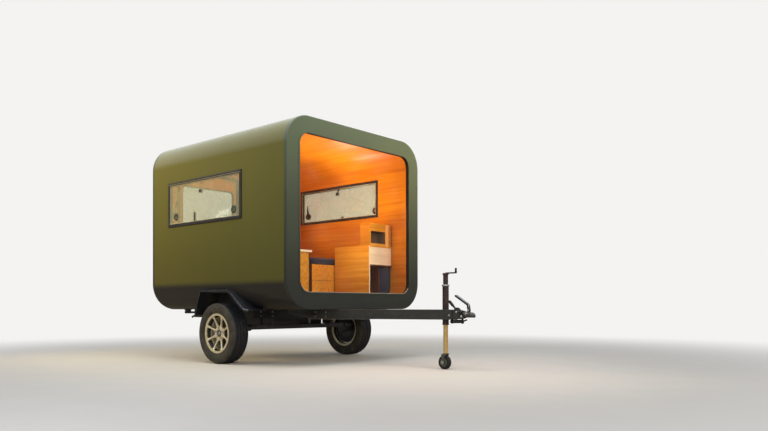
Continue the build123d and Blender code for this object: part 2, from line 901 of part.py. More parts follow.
# Overrun housing between the ends of the rails, bored for the draw tube
housing_half = rail_half_front - rail_wall - housing_play
housing_low = rail_low + rail_wall
housing_high = body_low - rail_wall
housing_area_yz = RectangleRounded(2 * housing_half, housing_high - housing_low, housing_round)
overrun = along_x(Pos(0, tube_z) * housing_area_yz, housing_rear, housing_front)
nose_front = housing_front + nose_length
overrun += rod_x(0, tube_z, housing_front, nose_front, draw_tube + nose_ring)
overrun -= rod_x(0, tube_z, housing_rear, nose_front, draw_tube)
# Brake boss at its side, with a toothed quadrant for the lever's pawl
brake_pin = (housing_front - brake_pin_back, body_low - brake_pin_low)
brake_y = -housing_half - brake_boss
overrun += rod_y(*brake_pin, brake_y, -housing_half, boss_radius)
upper_half = Pos(0, quadrant_radius) * Rectangle(2 * quadrant_radius, 2 * quadrant_radius)
quadrant = Circle(quadrant_radius) & upper_half
for i in range(quadrant_teeth):
    quadrant -= Rot(0, 0, tooth_start + tooth_step * i) * Pos(quadrant_radius, 0) * Circle(tooth_radius)
overrun += along_y(Pos(*brake_pin) * quadrant, -housing_half - quadrant_thick, -housing_half)
save("overrun_housing", overrun)


def about_draw_tube(points):
    """Revolve points of x and radius about the draw tube's line."""
    plane = Plane((0, 0, tube_z), x_dir=(1, 0, 0), z_dir=(0, -1, 0))
    return revolve(plane * make_face(Polyline(*points, close=True)), Axis((0, 0, tube_z), (1, 0, 0)), 360)


# Rubber bellows over the draw tube
sleeve_rear = ball_x - sleeve_behind_ball
pitch = (sleeve_rear - nose_front) / bellows_folds
bellows_points = [(nose_front, draw_tube + housing_play), (nose_front, bellows_valley)]
for i in range(bellows_folds):
    bellows_points.append((nose_front + (i + 0.5) * pitch, bellows_radius))
    bellows_points.append((nose_front + (i + 1) * pitch, bellows_valley))
bellows_points.append((sleeve_rear, draw_tube + housing_play))
save("bellows", about_draw_tube(bellows_points))

# Coupling head: a sleeve on the draw tube, drawn down to the ball cup, with a lug for the handle
sleeve_front = sleeve_rear + sleeve_length
sleeve_radius = draw_tube + sleeve_wall
handle_pin_place = (ball_x - handle_pin_back, ball_z + handle_pin_rise)
head = rod_x(0, tube_z, sleeve_rear, sleeve_front, sleeve_radius)
head += rod_x(0, tube_z, housing_rear + clamp_inset, sleeve_rear, draw_tube)
throat = Plane((sleeve_front, 0, tube_z), z_dir=(1, 0, 0)) * Circle(sleeve_radius)
collar_plane = Plane((ball_x - collar_back, 0, ball_z + collar_rise), z_dir=(1, 0, 0))
collar = collar_plane * Circle(cup_radius - collar_in)
head += loft([throat, collar])
head += Pos(ball_x, 0, ball_z) * Sphere(cup_radius)
head -= Pos(ball_x, 0, ball_z) * Sphere(ball_diameter / 2)
head -= rod_z(ball_x, 0, ball_z - 2 * cup_radius, ball_z, ball_diameter / 2)
reach = 2 * cup_radius
head -= block(ball_x - reach, ball_x + reach, -reach, reach, ball_z - reach, ball_z - cup_cut)
pin_x, pin_z = handle_pin_place
head += block(pin_x - lug_half, pin_x + lug_half, -lug_thick / 2, lug_thick / 2,
              ball_z + ball_diameter / 2, pin_z + lug_half)
head -= rod_y(pin_x, pin_z, -lug_thick, lug_thick, handle_pin + pin_play)
save("coupling_head", largest(head))

# Coupling handle: two cheeks on the lug's pin, joined to one bent grip
cheek_near = lug_thick / 2 + handle_play
cheek_far = cheek_near + handle_cheek
handle_points = [handle_pin_place] + [(pin_x + dx, pin_z + dz) for dx, dz in handle_bends]
half = handle_width_small / 2
cheeks = along_y(strip(handle_points[:2], -half, half), cheek_near, cheek_far)
cheeks += rod_y(*handle_points[0], cheek_near, cheek_far, half + handle_cheek)
grip = along_y(strip(handle_points[1:], -half, half), -cheek_far, cheek_far)
for place in handle_points[1:]:
    grip += rod_y(*place, -cheek_far, cheek_far, half)
grip += rod_y(*handle_points[0], -cheek_far, cheek_far, handle_pin)
save("coupling_handle", cheeks + mirrored(cheeks) + grip)

# Handbrake lever on its boss: a flat bent arm with a thicker grip
lever_points = [brake_pin] + [(brake_pin[0] + dx, brake_pin[1] + dz) for dx, dz in lever_bends]
grip_start = (brake_pin[0] + grip_from[0], brake_pin[1] + grip_from[1])
half = lever_width / 2
lever = along_y(strip(lever_points, -half, half), brake_y - brake_plate, brake_y)
lever += rod_y(*brake_pin, brake_y - brake_plate - brake_boss, brake_y, boss_radius)
half += grip_extra
grip_y = brake_y - brake_plate - grip_thick
lever += along_y(strip([grip_start, lever_points[-1]], -half, half), grip_y, brake_y)
lever += rod_y(*lever_points[-1], grip_y, brake_y, half)
save("handbrake_lever", lever)

# Jack: a clamp between the rails holds the outer tube
jack_bore = rod_z(jack_x, 0, jack_outer_low, jack_upper_top - jack_bore_roof, jack_inner_radius + jack_play)
jack = rod_z(jack_x, 0, jack_outer_low, jack_outer_top, jack_outer_radius)
jack += rod_z(jack_x, 0, jack_outer_top, jack_upper_top, jack_upper_radius)
jack += rod_z(jack_x, 0, jack_outer_top - jack_collar_height, jack_outer_top,
              jack_outer_radius + jack_collar)
jack -= jack_bore
jack -= rod_z(jack_x, 0, jack_upper_top - jack_bore_roof, jack_upper_top, crank_stub + jack_play)
save("jack_tube", jack)
rail_slope = (rail_half_rear - rail_half_front) / (rail_front_x - rail_knee_x)
web_y = rail_wall * hypot(1, rail_slope)
clamp_corners = [(x, rail_y(x) - web_y) for x in (jack_x - clamp_half, jack_x + clamp_half)]
clamp_corners += [(x, -y) for x, y in reversed(clamp_corners)]
clamp_area = make_face(Polyline(*clamp_corners, close=True)) - Pos(jack_x, 0) * Circle(jack_outer_radius)
clamp_area -= Pos(jack_x, 0) * Rectangle(4 * clamp_half, clamp_split)
save("jack_clamp", along_z(clamp_area, rail_low + clamp_inset, body_low - clamp_inset))

# Sliding inner tube with the swivelling fork
fork_top = 2 * jockey_radius + fork_clear + fork_plate + fork_cap
leg_top = jack_outer_top - 2 * jack_outer_radius
leg = rod_z(jack_x, 0, fork_top, leg_top, jack_inner_radius)
leg -= rod_z(jack_x, 0, fork_top + jack_outer_radius / 2, leg_top, jack_inner_radius - jack_wall)
save("jack_leg", leg)
jockey_x = jack_x - jockey_trail
jockey_z = jockey_radius
crown_low = fork_top - fork_cap - fork_plate
fork_side = fork_gap / 2 + fork_plate
fork = rod_z(jack_x, 0, fork_top - fork_cap, fork_top - pin_play, jack_inner_radius + fork_plate)
fork += block(jockey_x - fork_half, jack_x + fork_half, -fork_side, fork_side,
              crown_low, crown_low + fork_plate)
cheek = block(jockey_x - fork_half, jockey_x + fork_half, fork_gap / 2, fork_side, jockey_z, crown_low)
cheek += rod_y(jockey_x, jockey_z, fork_gap / 2, fork_side, fork_half)
fork += cheek + mirrored(cheek)
pin_end = fork_side + fork_plate
fork += rod_y(jockey_x, jockey_z, -pin_end, pin_end, jockey_pin)
save("jockey_fork", fork)

# Jockey wheel: a rubber tread on a dished hub
wheel_half = jockey_width / 2
hub_end = fork_gap / 2 - fork_play
# Half section of the wheel: radius, distance from its middle
jockey_side = [
    (jockey_pin + jack_play, hub_end),
    (jockey_hub, hub_end),
    (jockey_hub, wheel_half - jockey_dish),
    (jockey_disc, wheel_half - jockey_dish),
    (jockey_disc, wheel_half),
    (jockey_radius - jockey_dish, wheel_half),
    (jockey_radius, wheel_half - jockey_dish),
]
jockey_points = jockey_side + [(radius, -y) for radius, y in reversed(jockey_side)]
jockey_plane = Plane((jockey_x, 0, jockey_z), x_dir=(0, 0, 1), z_dir=(1, 0, 0))
jockey_face = jockey_plane * make_face(Polyline(*jockey_points, close=True))
save("jockey_wheel", revolve(jockey_face, Axis((jockey_x, 0, jockey_z), (0, 1, 0)), 360))

# Crank: a stub down into the tube, a cap, an arm to the front and an upright grip
crank_low = jack_upper_top + pin_play
crank_top = crank_low + crank_thick
crank_x = jack_x + crank_reach
crank = rod_z(jack_x, 0, jack_upper_top - jack_bore_roof, crank_low, crank_stub)
crank += rod_z(jack_x, 0, crank_low, crank_top, jack_upper_radius)
crank += block(jack_x, crank_x, -crank_bar / 2, crank_bar / 2, crank_low, crank_top)
crank += rod_z(crank_x, 0, crank_low, crank_top + crank_grip, crank_bar / 2)
save("jack_crank", crank)


def cabin(shape):
    """Keep what lies inside the lining."""
    return shape & along_x(outline(inside), rear, 0)


def clear_of_boxes(shape, gap):
    """Cut a piece back from the wheel boxes by a gap."""
    return shape - along_y(housing_area(-gap), box_inner_y - gap, body_side)


# Left cabinet: an open-fronted case of boards against the wall
cab_front = -cab_set_back
cab_rear = cab_front - cab_length
cab_side_y = wall_y - cab_depth
cab_top = floor_top + cab_height
fascia_low = cab_top - fascia_height
fascia_x = cab_front - fascia_set_back
cabinet = block(cab_rear, cab_front, cab_side_y, wall_y, cab_top - board, cab_top)
cabinet += block(cab_rear, cab_front, cab_side_y, cab_side_y + board, floor_top, cab_top)
cabinet += block(cab_rear, cab_rear + board, cab_side_y, wall_y, floor_top, cab_top)
cabinet += block(cab_rear, fascia_x, cab_side_y, wall_y, fascia_low - board, fascia_low)
# An upright board beside the cool box
cool_front = cab_front - cool_box_set_back
cool_left_y = wall_y - cool_box_from_wall
cool_right_y = cool_left_y - cool_box_width
divider_y = cool_right_y - cool_box_play - board
cabinet += block(cab_rear, cool_front, divider_y, divider_y + board, floor_top, fascia_low - board)
save("cabinet", largest(cabin(cabinet) - housing_holes))
save("cabinet_fascia", block(fascia_x - board, fascia_x, cab_side_y + board, wall_y - board,
                             fascia_low, cab_top - board))
cool_box = block(cool_front - cool_box_length, cool_front, cool_right_y, cool_left_y,
                 floor_top, fascia_low - board - cool_box_clear)
save("cool_box", largest(clear_of_boxes(cabin(cool_box), box_gap)))

# Open box that stands on the cabinet, with an upright board between it and the wall
shelf_rear = cab_front - wall_box_depth
box_left_y = wall_y - wall_box_from_wall
box_right_y = box_left_y - wall_box_width
shelf_top = cab_top + wall_box_height
wall_box = block(shelf_rear, cab_front, box_right_y, box_left_y, cab_top, shelf_top)
wall_box -= block(shelf_rear + board, cab_front, box_right_y + board, box_left_y - wall_box_stile,
                  cab_top + wall_box_sill, shelf_top - wall_box_head)
batten_y = wall_y - batten_from_wall
wall_box += block(shelf_rear, cab_front, batten_y - batten_width, batten_y, cab_top, shelf_top)
save("wall_box", wall_box)

# Bench along the left wall, its front made of two boards with an open joint, and its cushion
bench_front = cab_rear - bench_gap
bench_side_y = door_left + door_gap + door_frame_wall + bench_from_door
bench_top = floor_top + bench_height
joint_z = floor_top + bench_joint
bench = block(lining_rear, bench_front, bench_side_y, wall_y, floor_top, bench_top)
bench -= block(lining_rear, bench_front - board, bench_side_y + board, wall_y, floor_top, bench_top - board)
bench -= block(bench_front - joint_deep, bench_front, bench_side_y, wall_y, joint_z, joint_z + joint_width)
bench -= block(lining_rear, bench_front, bench_side_y, bench_side_y + joint_deep,
               joint_z, joint_z + joint_width)
save("bench", largest(clear_of_boxes(cabin(bench), board)))
cushion_low = bench_top + cushion_gap
cushion = block(lining_rear + cushion_margin, bench_front - cushion_margin, bench_side_y + cushion_margin,
                wall_y - cushion_margin, cushion_low, cushion_low + cushion_thick)
save("bench_cushion", cushion)

# Right-hand counter: an open-backed case with an overhanging top
counter_y = counter_depth - wall_y
counter_top = floor_top + counter_height
case_top = counter_top - top_board
counter = block(cab_rear, cab_front, -wall_y, counter_y, floor_top, case_top)
counter -= block(cab_rear, cab_front - board, -wall_y, counter_y - board, floor_top, case_top - board)
save("counter", largest(cabin(counter) - housing_holes))
save("counter_top", block(cab_rear, cab_front + counter_overhang, -wall_y, counter_y + counter_overhang,
                          case_top, counter_top))

# Two batteries on the floor behind the counter's front board
batteries = Part()
battery_front = cab_front - board - battery_gap
for i in range(2):
    battery_y = -box_inner_y + battery_gap + i * (battery_width + battery_gap)
    batteries += block(battery_front - battery_length, battery_front, battery_y,
                       battery_y + battery_width, floor_top, floor_top + battery_height)
save("batteries", batteries)

# Tail lamps on the rear rim: a base with a smaller rounded lens on it
lamp_y = body_side - lamp_from_side
lamp_z = body_low + lamp_rise
lamp_area = Pos(lamp_y, lamp_z) * RectangleRounded(lamp_width, lamp_height, lamp_round)
lens_area = Pos(lamp_y, lamp_z) * RectangleRounded(
    lamp_width - 2 * lamp_lens_inset, lamp_height - 2 * lamp_lens_inset, lamp_round - lamp_lens_inset)
lens = along_x(lens_area, tail_x, rear - lamp_base)
lamp = fillet(lens.faces().sort_by(Axis.X)[0].edges(), lamp_lens_inset)
lamp += along_x(lamp_area, rear - lamp_base, rear)
save("tail_lamps", lamp + mirrored(lamp))

# Rear corner steadies: channel legs folded up under the floor, on brackets
steady_x = rear + steady_from_rear
steady_y = body_side - steady_from_side
steady_z = body_low - steady_pin_drop
bracket = block(steady_x - bracket_half, steady_x + bracket_half, steady_y - bracket_half,
                steady_y + bracket_half, body_low - bracket_thick, body_low)
for end in (-1, 1):
    cheek_y = steady_y + end * (steady_width + bracket_thick) / 2 + end * cheek_gap
    bracket += block(steady_x - bracket_half, steady_x + bracket_half, cheek_y - bracket_thick / 2,
                     cheek_y + bracket_thick / 2, steady_z - steady_eye, body_low)
bracket += rod_y(steady_x, steady_z, steady_y - bracket_half, steady_y + bracket_half, steady_pin)
save("steady_brackets", bracket + mirrored(bracket))
foot_x = steady_x + steady_length
half = steady_width / 2
leg = block(steady_x, foot_x, steady_y - half, steady_y + half,
            steady_z - steady_half, steady_z + steady_half)
leg += rod_y(steady_x, steady_z, steady_y - half, steady_y + half, steady_eye)
leg -= block(steady_x + 2 * steady_eye, foot_x, steady_y - half + steady_wall, steady_y + half - steady_wall,
             steady_z - steady_half, steady_z + steady_half - steady_wall)
leg -= rod_y(steady_x, steady_z, steady_y - half, steady_y + half, steady_pin + pin_play)
leg += block(foot_x - steady_foot, foot_x, steady_y - foot_half_width, steady_y + foot_half_width,
             steady_z - 2 * steady_half, steady_z + 2 * steady_half)
save("steady_left", leg)
save("steady_right", mirrored(leg))
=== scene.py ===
# %% [markdown]
# # A small camping trailer, dressed for the camera
#
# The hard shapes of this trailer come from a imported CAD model: the rounded-square body, the wheels,
# the V-shaped drawbar and the plywood furniture. This lesson gives each of them a finish that reads
# like the real one, and adds what a CAD model leaves out: tyre tread, a stuffed bench cushion,
# bolts, seals, knobs and trims. We load the CAD model as a fixed frame and keep its box.

# %% Load the frame
from math import cos, pi, radians, sin

import bmesh
import bpy
from mathutils import Matrix, Vector


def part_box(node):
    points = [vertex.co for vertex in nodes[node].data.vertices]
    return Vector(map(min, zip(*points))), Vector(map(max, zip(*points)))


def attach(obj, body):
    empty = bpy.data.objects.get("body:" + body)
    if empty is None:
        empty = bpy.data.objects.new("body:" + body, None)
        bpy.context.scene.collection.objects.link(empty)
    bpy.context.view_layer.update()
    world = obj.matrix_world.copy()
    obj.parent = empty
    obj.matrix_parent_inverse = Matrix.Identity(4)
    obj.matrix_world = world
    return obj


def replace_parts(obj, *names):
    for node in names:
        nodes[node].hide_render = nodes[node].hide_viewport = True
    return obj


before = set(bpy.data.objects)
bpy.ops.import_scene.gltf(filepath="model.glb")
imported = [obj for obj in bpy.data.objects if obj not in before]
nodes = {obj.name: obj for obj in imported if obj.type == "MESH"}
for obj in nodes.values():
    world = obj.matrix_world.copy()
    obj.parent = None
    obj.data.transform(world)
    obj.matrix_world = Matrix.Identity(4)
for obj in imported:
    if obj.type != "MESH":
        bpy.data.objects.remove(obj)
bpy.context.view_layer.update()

# %% [markdown]
# ## Places that many cells share
#
# Places are in metres. +X points to the coupling, +Y to the left side, z = 0 is the ground. Where a
# trim follows a CAD piece's edge, its place comes from that piece's box. Other places were read off
# the CAD model. Radii, widths, bevels and outlines are in millimetres, as on a workshop drawing.

# %% Shared places
rim_low, rim_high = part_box("front_rim")
tyre_low, tyre_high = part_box("tyre_right")
FRONT, BACK = rim_high.x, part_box("rear_rim")[0].x
LOW, TOP = rim_low.z, rim_high.z
AXLE_X, AXLE_Z = (tyre_low.x + tyre_high.x) / 2, (tyre_low.z + tyre_high.z) / 2
WHEEL_Y = (tyre_low.y + tyre_high.y) / -2
SIDES = (1, "left"), (-1, "right")
print(f"body {FRONT - BACK:.3f} long, axle at x {AXLE_X:.4f}, wheels at y +-{WHEEL_Y:.4f}")

# %% [markdown]
# ## The camera
#
# The photograph was taken from knee height, off the front right corner. The lens and the place come
# from fitting the body's corners and the wheels' ground contacts. The horizon sits low in the
# picture because it was cropped, and a small upward shift of the lens does the same here.

# %% Camera
def new_object(name, data):
    """An object in the scene for a mesh, a lamp or a camera."""
    made = bpy.data.objects.new(name, data)
    bpy.context.scene.collection.objects.link(made)
    return made


def object_of(name, shape):
    """An object in the scene for a bmesh."""
    mesh = bpy.data.meshes.new(name)
    shape.to_mesh(mesh)
    shape.free()
    return new_object(name, mesh)


camera_data = bpy.data.cameras.new("camera")
camera_data.lens = 33.09
camera_data.sensor_width = 36
camera_data.shift_y = 0.1139
camera = new_object("camera", camera_data)
camera.location = (5.5315, -5.421, 0.593)
camera.rotation_euler = (radians(90.30), radians(0.084), radians(41.05))
bpy.context.scene.camera = camera
bpy.context.scene.view_settings.view_transform = "Standard"
print("camera at", tuple(camera.location))

# %% [markdown]
# ## Colours and nodes
#
# Colours are sRGB hex, as a paint chart gives them, and one function turns them to the linear values
# that the shader works with. A second small function adds a shader node with its settings and its
# inputs, and returns the output that the next node needs.

# %% Colour and node helpers
def linear(colour):
    """An sRGB hex colour as linear RGBA."""
    values = [int(colour[i:i + 2], 16) / 255 for i in (1, 3, 5)]
    return tuple(v / 12.92 if v <= 0.04045 else ((v + 0.055) / 1.055) ** 2.4 for v in values) + (1,)


def add(tree, kind, inputs=None, out=0, **settings):
    """Add a node and return one of its outputs, by its number or name. Settings are the node's own
    properties. Inputs are plain values, hex colours, or outputs of other nodes."""
    made = tree.nodes.new("ShaderNode" + kind)
    for name, value in settings.items():
        setattr(made, name, value)
    for name, value in (inputs or {}).items():
        if isinstance(value, bpy.types.NodeSocket):
            tree.links.new(value, made.inputs[name])
        else:
            made.inputs[name].default_value = linear(value) if isinstance(value, str) else value
    return made.outputs[out] if len(made.outputs) else None


def set_stops(ramp_output, *stops, interpolation="LINEAR"):
    """Give a colour ramp its positions and colours, from the lowest up."""
    ramp = ramp_output.node.color_ramp
    ramp.interpolation = interpolation
    for element, (position, colour) in zip(ramp.elements, (stops[0], stops[-1])):
        element.position, element.color = position, linear(colour)
    for position, colour in stops[1:-1]:
        ramp.elements.new(position).color = linear(colour)
    return ramp_output


def finish(name, layers, *settings, **more):
    """A material from a function that lays its shader nodes and returns the last output."""
    made = bpy.data.materials.new(name)
    made.use_nodes = True
    made.node_tree.nodes.clear()
    last = layers(made.node_tree, *settings, **more)
    add(made.node_tree, "OutputMaterial", {"Surface": last})
    return made


def dress(material, *names):
    """Give CAD pieces a material."""
    for name in names:
        for material_slot in nodes[name].material_slots:
            material_slot.material = material
    print(material.name, "on", ", ".join(names))


# %% [markdown]
# ## The floor and the light
#
# A part for reuse is shown on a plain pale floor. The floor is one large disc. Near the trailer it is
# matt and takes the shadow, and further out it fades to the white of the backdrop, so that no horizon
# line cuts through the picture. Light that bounces off it meets a darker tone than the camera does,
# because a trailer's underside is dark outdoors.

# %% Floor
BACKDROP = "#F4F3F1"


def seen_directly(tree):
    """1 for what the camera sees itself or through a pane."""
    by_camera = add(tree, "LightPath", out="Is Camera Ray")
    through_pane = add(tree, "LightPath", out="Is Transmission Ray")
    return add(tree, "Math", {0: by_camera, 1: through_pane}, operation="MAXIMUM")


def pale_floor(tree):
    """Matt near the trailer, the backdrop's white further out."""
    place = add(tree, "TexCoord", out="Object")
    distance = add(tree, "VectorMath", {0: place}, "Value", operation="LENGTH")
    fade = add(tree, "MapRange", {"Value": distance, "From Min": 2.9, "From Max": 8.5},
               interpolation_type="SMOOTHSTEP")
    grain = add(tree, "TexNoise", {"Vector": place, "Scale": 3, "Detail": 4})
    tone = add(tree, "Mix", {0: grain, 6: "#D9D6D0", 7: "#E1DED8"}, 2, data_type="RGBA")
    by_camera = add(tree, "LightPath", out="Is Camera Ray")
    tone = add(tree, "Mix", {0: by_camera, 6: "#B5AEA2", 7: tone}, 2, data_type="RGBA")
    matt = add(tree, "BsdfPrincipled", {"Base Color": tone, "Roughness": 0.85,
                                        "Specular IOR Level": 0.2})
    white = add(tree, "Emission", {"Color": BACKDROP, "Strength": 1})
    share = add(tree, "Math", {0: seen_directly(tree), 1: fade}, operation="MULTIPLY")
    return add(tree, "MixShader", {0: share, 1: matt, 2: white})


floor_shape = bmesh.new()
bmesh.ops.create_circle(floor_shape, cap_ends=True, radius=60, segments=96)
studio_floor = object_of("studio_floor", floor_shape)
studio_floor.data.materials.append(finish("pale_floor", pale_floor))
print("floor ready")

# %% [markdown]
# The light is soft, as on a grey day: a white sky, a large lamp above, a warm one behind, and a cool
# weak one low at the right for the drawbar and the wheel. One lamp shines into the cabin from the
# front, two small ones inside lift the ceiling and the left wall, and one stands for the daylight
# that comes in through the left window. The last one lights the far side of the front rim.
# Reflections see a sky that is bright above and dark near the horizon.

# %% World and lamps
world = bpy.data.worlds.new("studio_sky")
bpy.context.scene.world = world
world.use_nodes = True
tree = world.node_tree
tree.nodes.clear()
backdrop = add(tree, "Background", {"Color": BACKDROP, "Strength": 1})
sky = add(tree, "Background", {"Color": "#EEF1F4", "Strength": 0.42})
upward = add(tree, "SeparateXYZ", {0: add(tree, "TexCoord", out="Generated")}, "Z")
skyline = add(tree, "MapRange", {"Value": upward, "From Min": 0.20, "From Max": 0.36,
                                 "To Min": 0.16, "To Max": 1.8}, interpolation_type="SMOOTHSTEP")
shine = add(tree, "Background", {"Color": "#EAF0F8", "Strength": skyline})
glossy = add(tree, "LightPath", out="Is Glossy Ray")
mixed = add(tree, "MixShader", {0: glossy, 1: sky, 2: shine})
mixed = add(tree, "MixShader", {0: seen_directly(tree), 1: mixed, 2: backdrop})
add(tree, "OutputWorld", {"Surface": mixed})


def lamp(name, place, target, size, power, colour, mirrored=False, spread=180):
    """A soft square lamp that points at a target. It can't be seen, and is mirrored only if asked."""
    data = bpy.data.lights.new(name, "AREA")
    data.shape = "SQUARE"
    data.size = size
    data.energy = power
    data.spread = radians(spread)
    data.color = linear(colour)[:3]
    made = new_object(name, data)
    made.location = place
    made.rotation_euler = (Vector(target) - Vector(place)).to_track_quat("-Z", "Y").to_euler()
    made.visible_camera = False
    made.visible_glossy = mirrored


lamp("lamp_above", (1.2, -1.5, 6.5), (-0.4, 0, 1.2), 5.0, 200, "#FFFFFF", mirrored=True)
lamp("lamp_rear", (-4.6, -4.0, 2.8), (-2.2, -1.0, 1.9), 1.6, 44, "#FFDF94", spread=80)
lamp("lamp_cabin", (5.2, -0.9, 2.2), (-0.6, 0.2, 1.5), 2.0, 38, "#FFF0DA", spread=80)
lamp("lamp_low", (3.0, -5.2, 0.85), (-0.5, -0.9, 0.55), 1.2, 8, "#E8ECFF", spread=90)
lamp("lamp_ceiling", (-0.2, -0.1, 1.48), (-0.4, 0.1, 2.4), 0.7, 13, "#FFE9CF")
lamp("lamp_wall", (0.1, -0.35, 1.55), (0.0, 0.9, 1.48), 0.5, 2.8, "#FFECC8", spread=80)
lamp("lamp_left", (2.6, 1.9, 2.4), (FRONT, 0.95, 1.9), 0.8, 7, "#FFDFA0", spread=60)
lamp("lamp_window", (-0.55, 0.895, 1.90), (-0.45, 0.0, 2.35), 0.35, 5, "#FFF4EC", mirrored=True)
print("sky and lamps ready")

# %% [markdown]
# ## Body paint
#
# The body is a tube of sandwich panel: a foam core between skins of glass-reinforced plastic, sprayed
# with a satin polyurethane paint in army olive. A sprayed film has the fine waves called orange peel,
# and a panel this large wanders by a fraction of a millimetre over half a metre. Both bend the
# reflections a little. The colour grows darker towards the ground, which is painted shade, and the
# lower bend, where the body turns under, carries a dark band with a soft edge, also painted shade.
# The orange peel is drawn at 9 mm instead of the true 2 mm, or it would be too fine to show.

# %% Body paint
def sprayed_paint(tree, top, middle, foot, shade_tone, shade_low, guard_high, gloss):
    """Satin paint with painted shade: darker towards the ground and in a band on its lower edge."""
    place = add(tree, "TexCoord", out="Object")
    height = add(tree, "SeparateXYZ", {0: place}, "Z")
    cloud, edge_jitter, smears, peel, wander = (
        add(tree, "TexNoise", {"Vector": place, "Scale": scale, "Detail": detail})
        for scale, detail in ((2.2, 5), (60, 3), (9, 6), (110, 2), (3.2, 1)))
    shift = add(tree, "Math", {0: cloud, 1: 0.16, 2: -0.08}, operation="MULTIPLY_ADD")
    uneven = add(tree, "Math", {0: height, 1: shift}, operation="ADD")
    share = add(tree, "MapRange", {"Value": uneven, "From Min": LOW, "From Max": TOP})
    # The colour darkens towards the ground: painted shade.
    film = set_stops(add(tree, "ValToRGB", {0: share}), (0.14, foot), (0.55, middle), (1, top))
    # A dark band with a frayed edge on the lower bend is painted shade.
    edge = add(tree, "Math", {0: edge_jitter, 1: 0.05, 2: -0.025}, operation="MULTIPLY_ADD")
    edge = add(tree, "Math", {0: height, 1: edge}, operation="ADD")
    painted_shade_band = add(tree, "MapRange", {"Value": edge, "From Min": guard_high, "From Max": shade_low},
                 interpolation_type="SMOOTHSTEP")
    colour = add(tree, "Mix", {0: painted_shade_band, 6: film, 7: shade_tone}, 2, data_type="RGBA")
    rough = add(tree, "MapRange", {"Value": painted_shade_band, "To Min": gloss, "To Max": 0.8})
    rough = add(tree, "Math", {0: smears, 1: 0.10, 2: rough}, operation="MULTIPLY_ADD")
    wave = add(tree, "Bump", {"Height": wander, "Strength": 0.25, "Distance": 0.012})
    relief = add(tree, "Bump", {"Height": peel, "Normal": wave, "Strength": 0.10, "Distance": 0.001})
    return add(tree, "BsdfPrincipled", {
        "Base Color": colour, "Roughness": rough, "Normal": relief, "IOR": 1.5,
        "Specular IOR Level": 0.16, "Coat Weight": 0.3, "Coat Roughness": 0.14})


# The fourth colour and the two heights after it give the dark band of painted shade on the lower bend.
olive_film = ("#6E6C2E", "#61602A", "#565424", "#2B2926", 0.80, 0.875, 0.34)
dress(finish("olive_polyurethane_paint", sprayed_paint, *olive_film), "body_shell", "rear_wall")

# %% [markdown]
# The two end rims are aluminium profiles, bent round the body and painted a cooler grey-green. Their
# colour grows darker towards the ground and darkest on the lower run: painted shade, and a painted
# reflection of the dark ground.

# %% Rim paint
# The darker foot and the dark band below 0.80 m paint the shade and the reflection of the ground.
rim_film = ("#5C6852", "#41483B", "#2C2F2B", "#2A2C2B", 0.56, 0.80, 0.42)
dress(finish("grey_green_rim_paint", sprayed_paint, *rim_film), "front_rim", "rear_rim")

# %% [markdown]
# ## Plywood
#
# The cabin is lined with thin lacquered plywood. Its face is rotary-cut veneer: long, nearly parallel
# figure lines that run with the board, a few centimetres apart and a metre long, darker streaks, and
# fine pores. All of it is stretched noise on Object coordinates: one Mapping node squeezes space
# along the grain, so that a blob becomes a streak. The pores are drawn at 2 mm instead of the real
# half millimetre. The figure runs along the trailer on walls and furniture, and across it on the
# rear wall. The lining is painted paler under the roof, which is painted light, and darker below the
# windows, which is painted shade. The drawer front and the counter's top are faced with a
# birch laminate, whose figure is the same kind, only weaker and creamier.

# %% Plywood
def veneer(tree, grain, dark, middle, light, rough=0.42, pale_top=None):
    """Lacquered veneer whose figure runs along one axis: 0 is x, 1 is y, 2 is z."""
    place = add(tree, "TexCoord", out="Object")
    squeeze = [1.0, 1.0, 1.0]
    squeeze[grain] = 0.035
    laid = add(tree, "Mapping", {"Vector": place, "Scale": squeeze})
    squeeze[grain] = 0.04
    pored = add(tree, "Mapping", {"Vector": place, "Scale": squeeze})
    bend = add(tree, "TexNoise", {"Vector": place, "Scale": 1.4, "Detail": 2}, "Color")
    bent = add(tree, "VectorMath", {0: bend, 1: [0.022] * 3, 2: laid}, operation="MULTIPLY_ADD")
    figure = add(tree, "TexNoise", {"Vector": bent, "Scale": 38, "Detail": 5, "Roughness": 0.62})
    broad = add(tree, "TexNoise", {"Vector": bent, "Scale": 6, "Detail": 2})
    both = add(tree, "Math", {0: broad, 1: 0.30}, operation="MULTIPLY")
    both = add(tree, "Math", {0: figure, 1: 0.80, 2: both}, operation="MULTIPLY_ADD")
    colour = set_stops(add(tree, "ValToRGB", {0: both}), (0.38, dark), (0.55, middle), (0.72, light))
    # Painted light and shade: paler under the roof, darker below the windows.
    if pale_top:
        height = add(tree, "SeparateXYZ", {0: place}, "Z")
        for start, end, tint, blend in ((TOP - 0.27, TOP - 0.03, pale_top, "SOFT_LIGHT"),
                                        (1.88, 1.60, "#DFCFAE", "MULTIPLY")):
            share = add(tree, "MapRange", {"Value": height, "From Min": start, "From Max": end},
                        interpolation_type="SMOOTHSTEP")
            colour = add(tree, "Mix", {0: share, 6: colour, 7: tint}, 2, data_type="RGBA",
                         blend_type=blend)
    pores = add(tree, "TexNoise", {"Vector": pored, "Scale": 420, "Detail": 2})
    worn = add(tree, "MapRange", {"Value": pores, "From Min": 0.3, "From Max": 0.7,
                                  "To Min": rough + 0.08, "To Max": rough - 0.06})
    relief = add(tree, "Bump", {"Height": pores, "Strength": 0.25, "Distance": 0.0006})
    return add(tree, "BsdfPrincipled", {
        "Base Color": colour, "Roughness": worn, "Normal": relief, "IOR": 1.5,
        "Specular IOR Level": 0.2, "Coat Weight": 0.14, "Coat Roughness": 0.25})


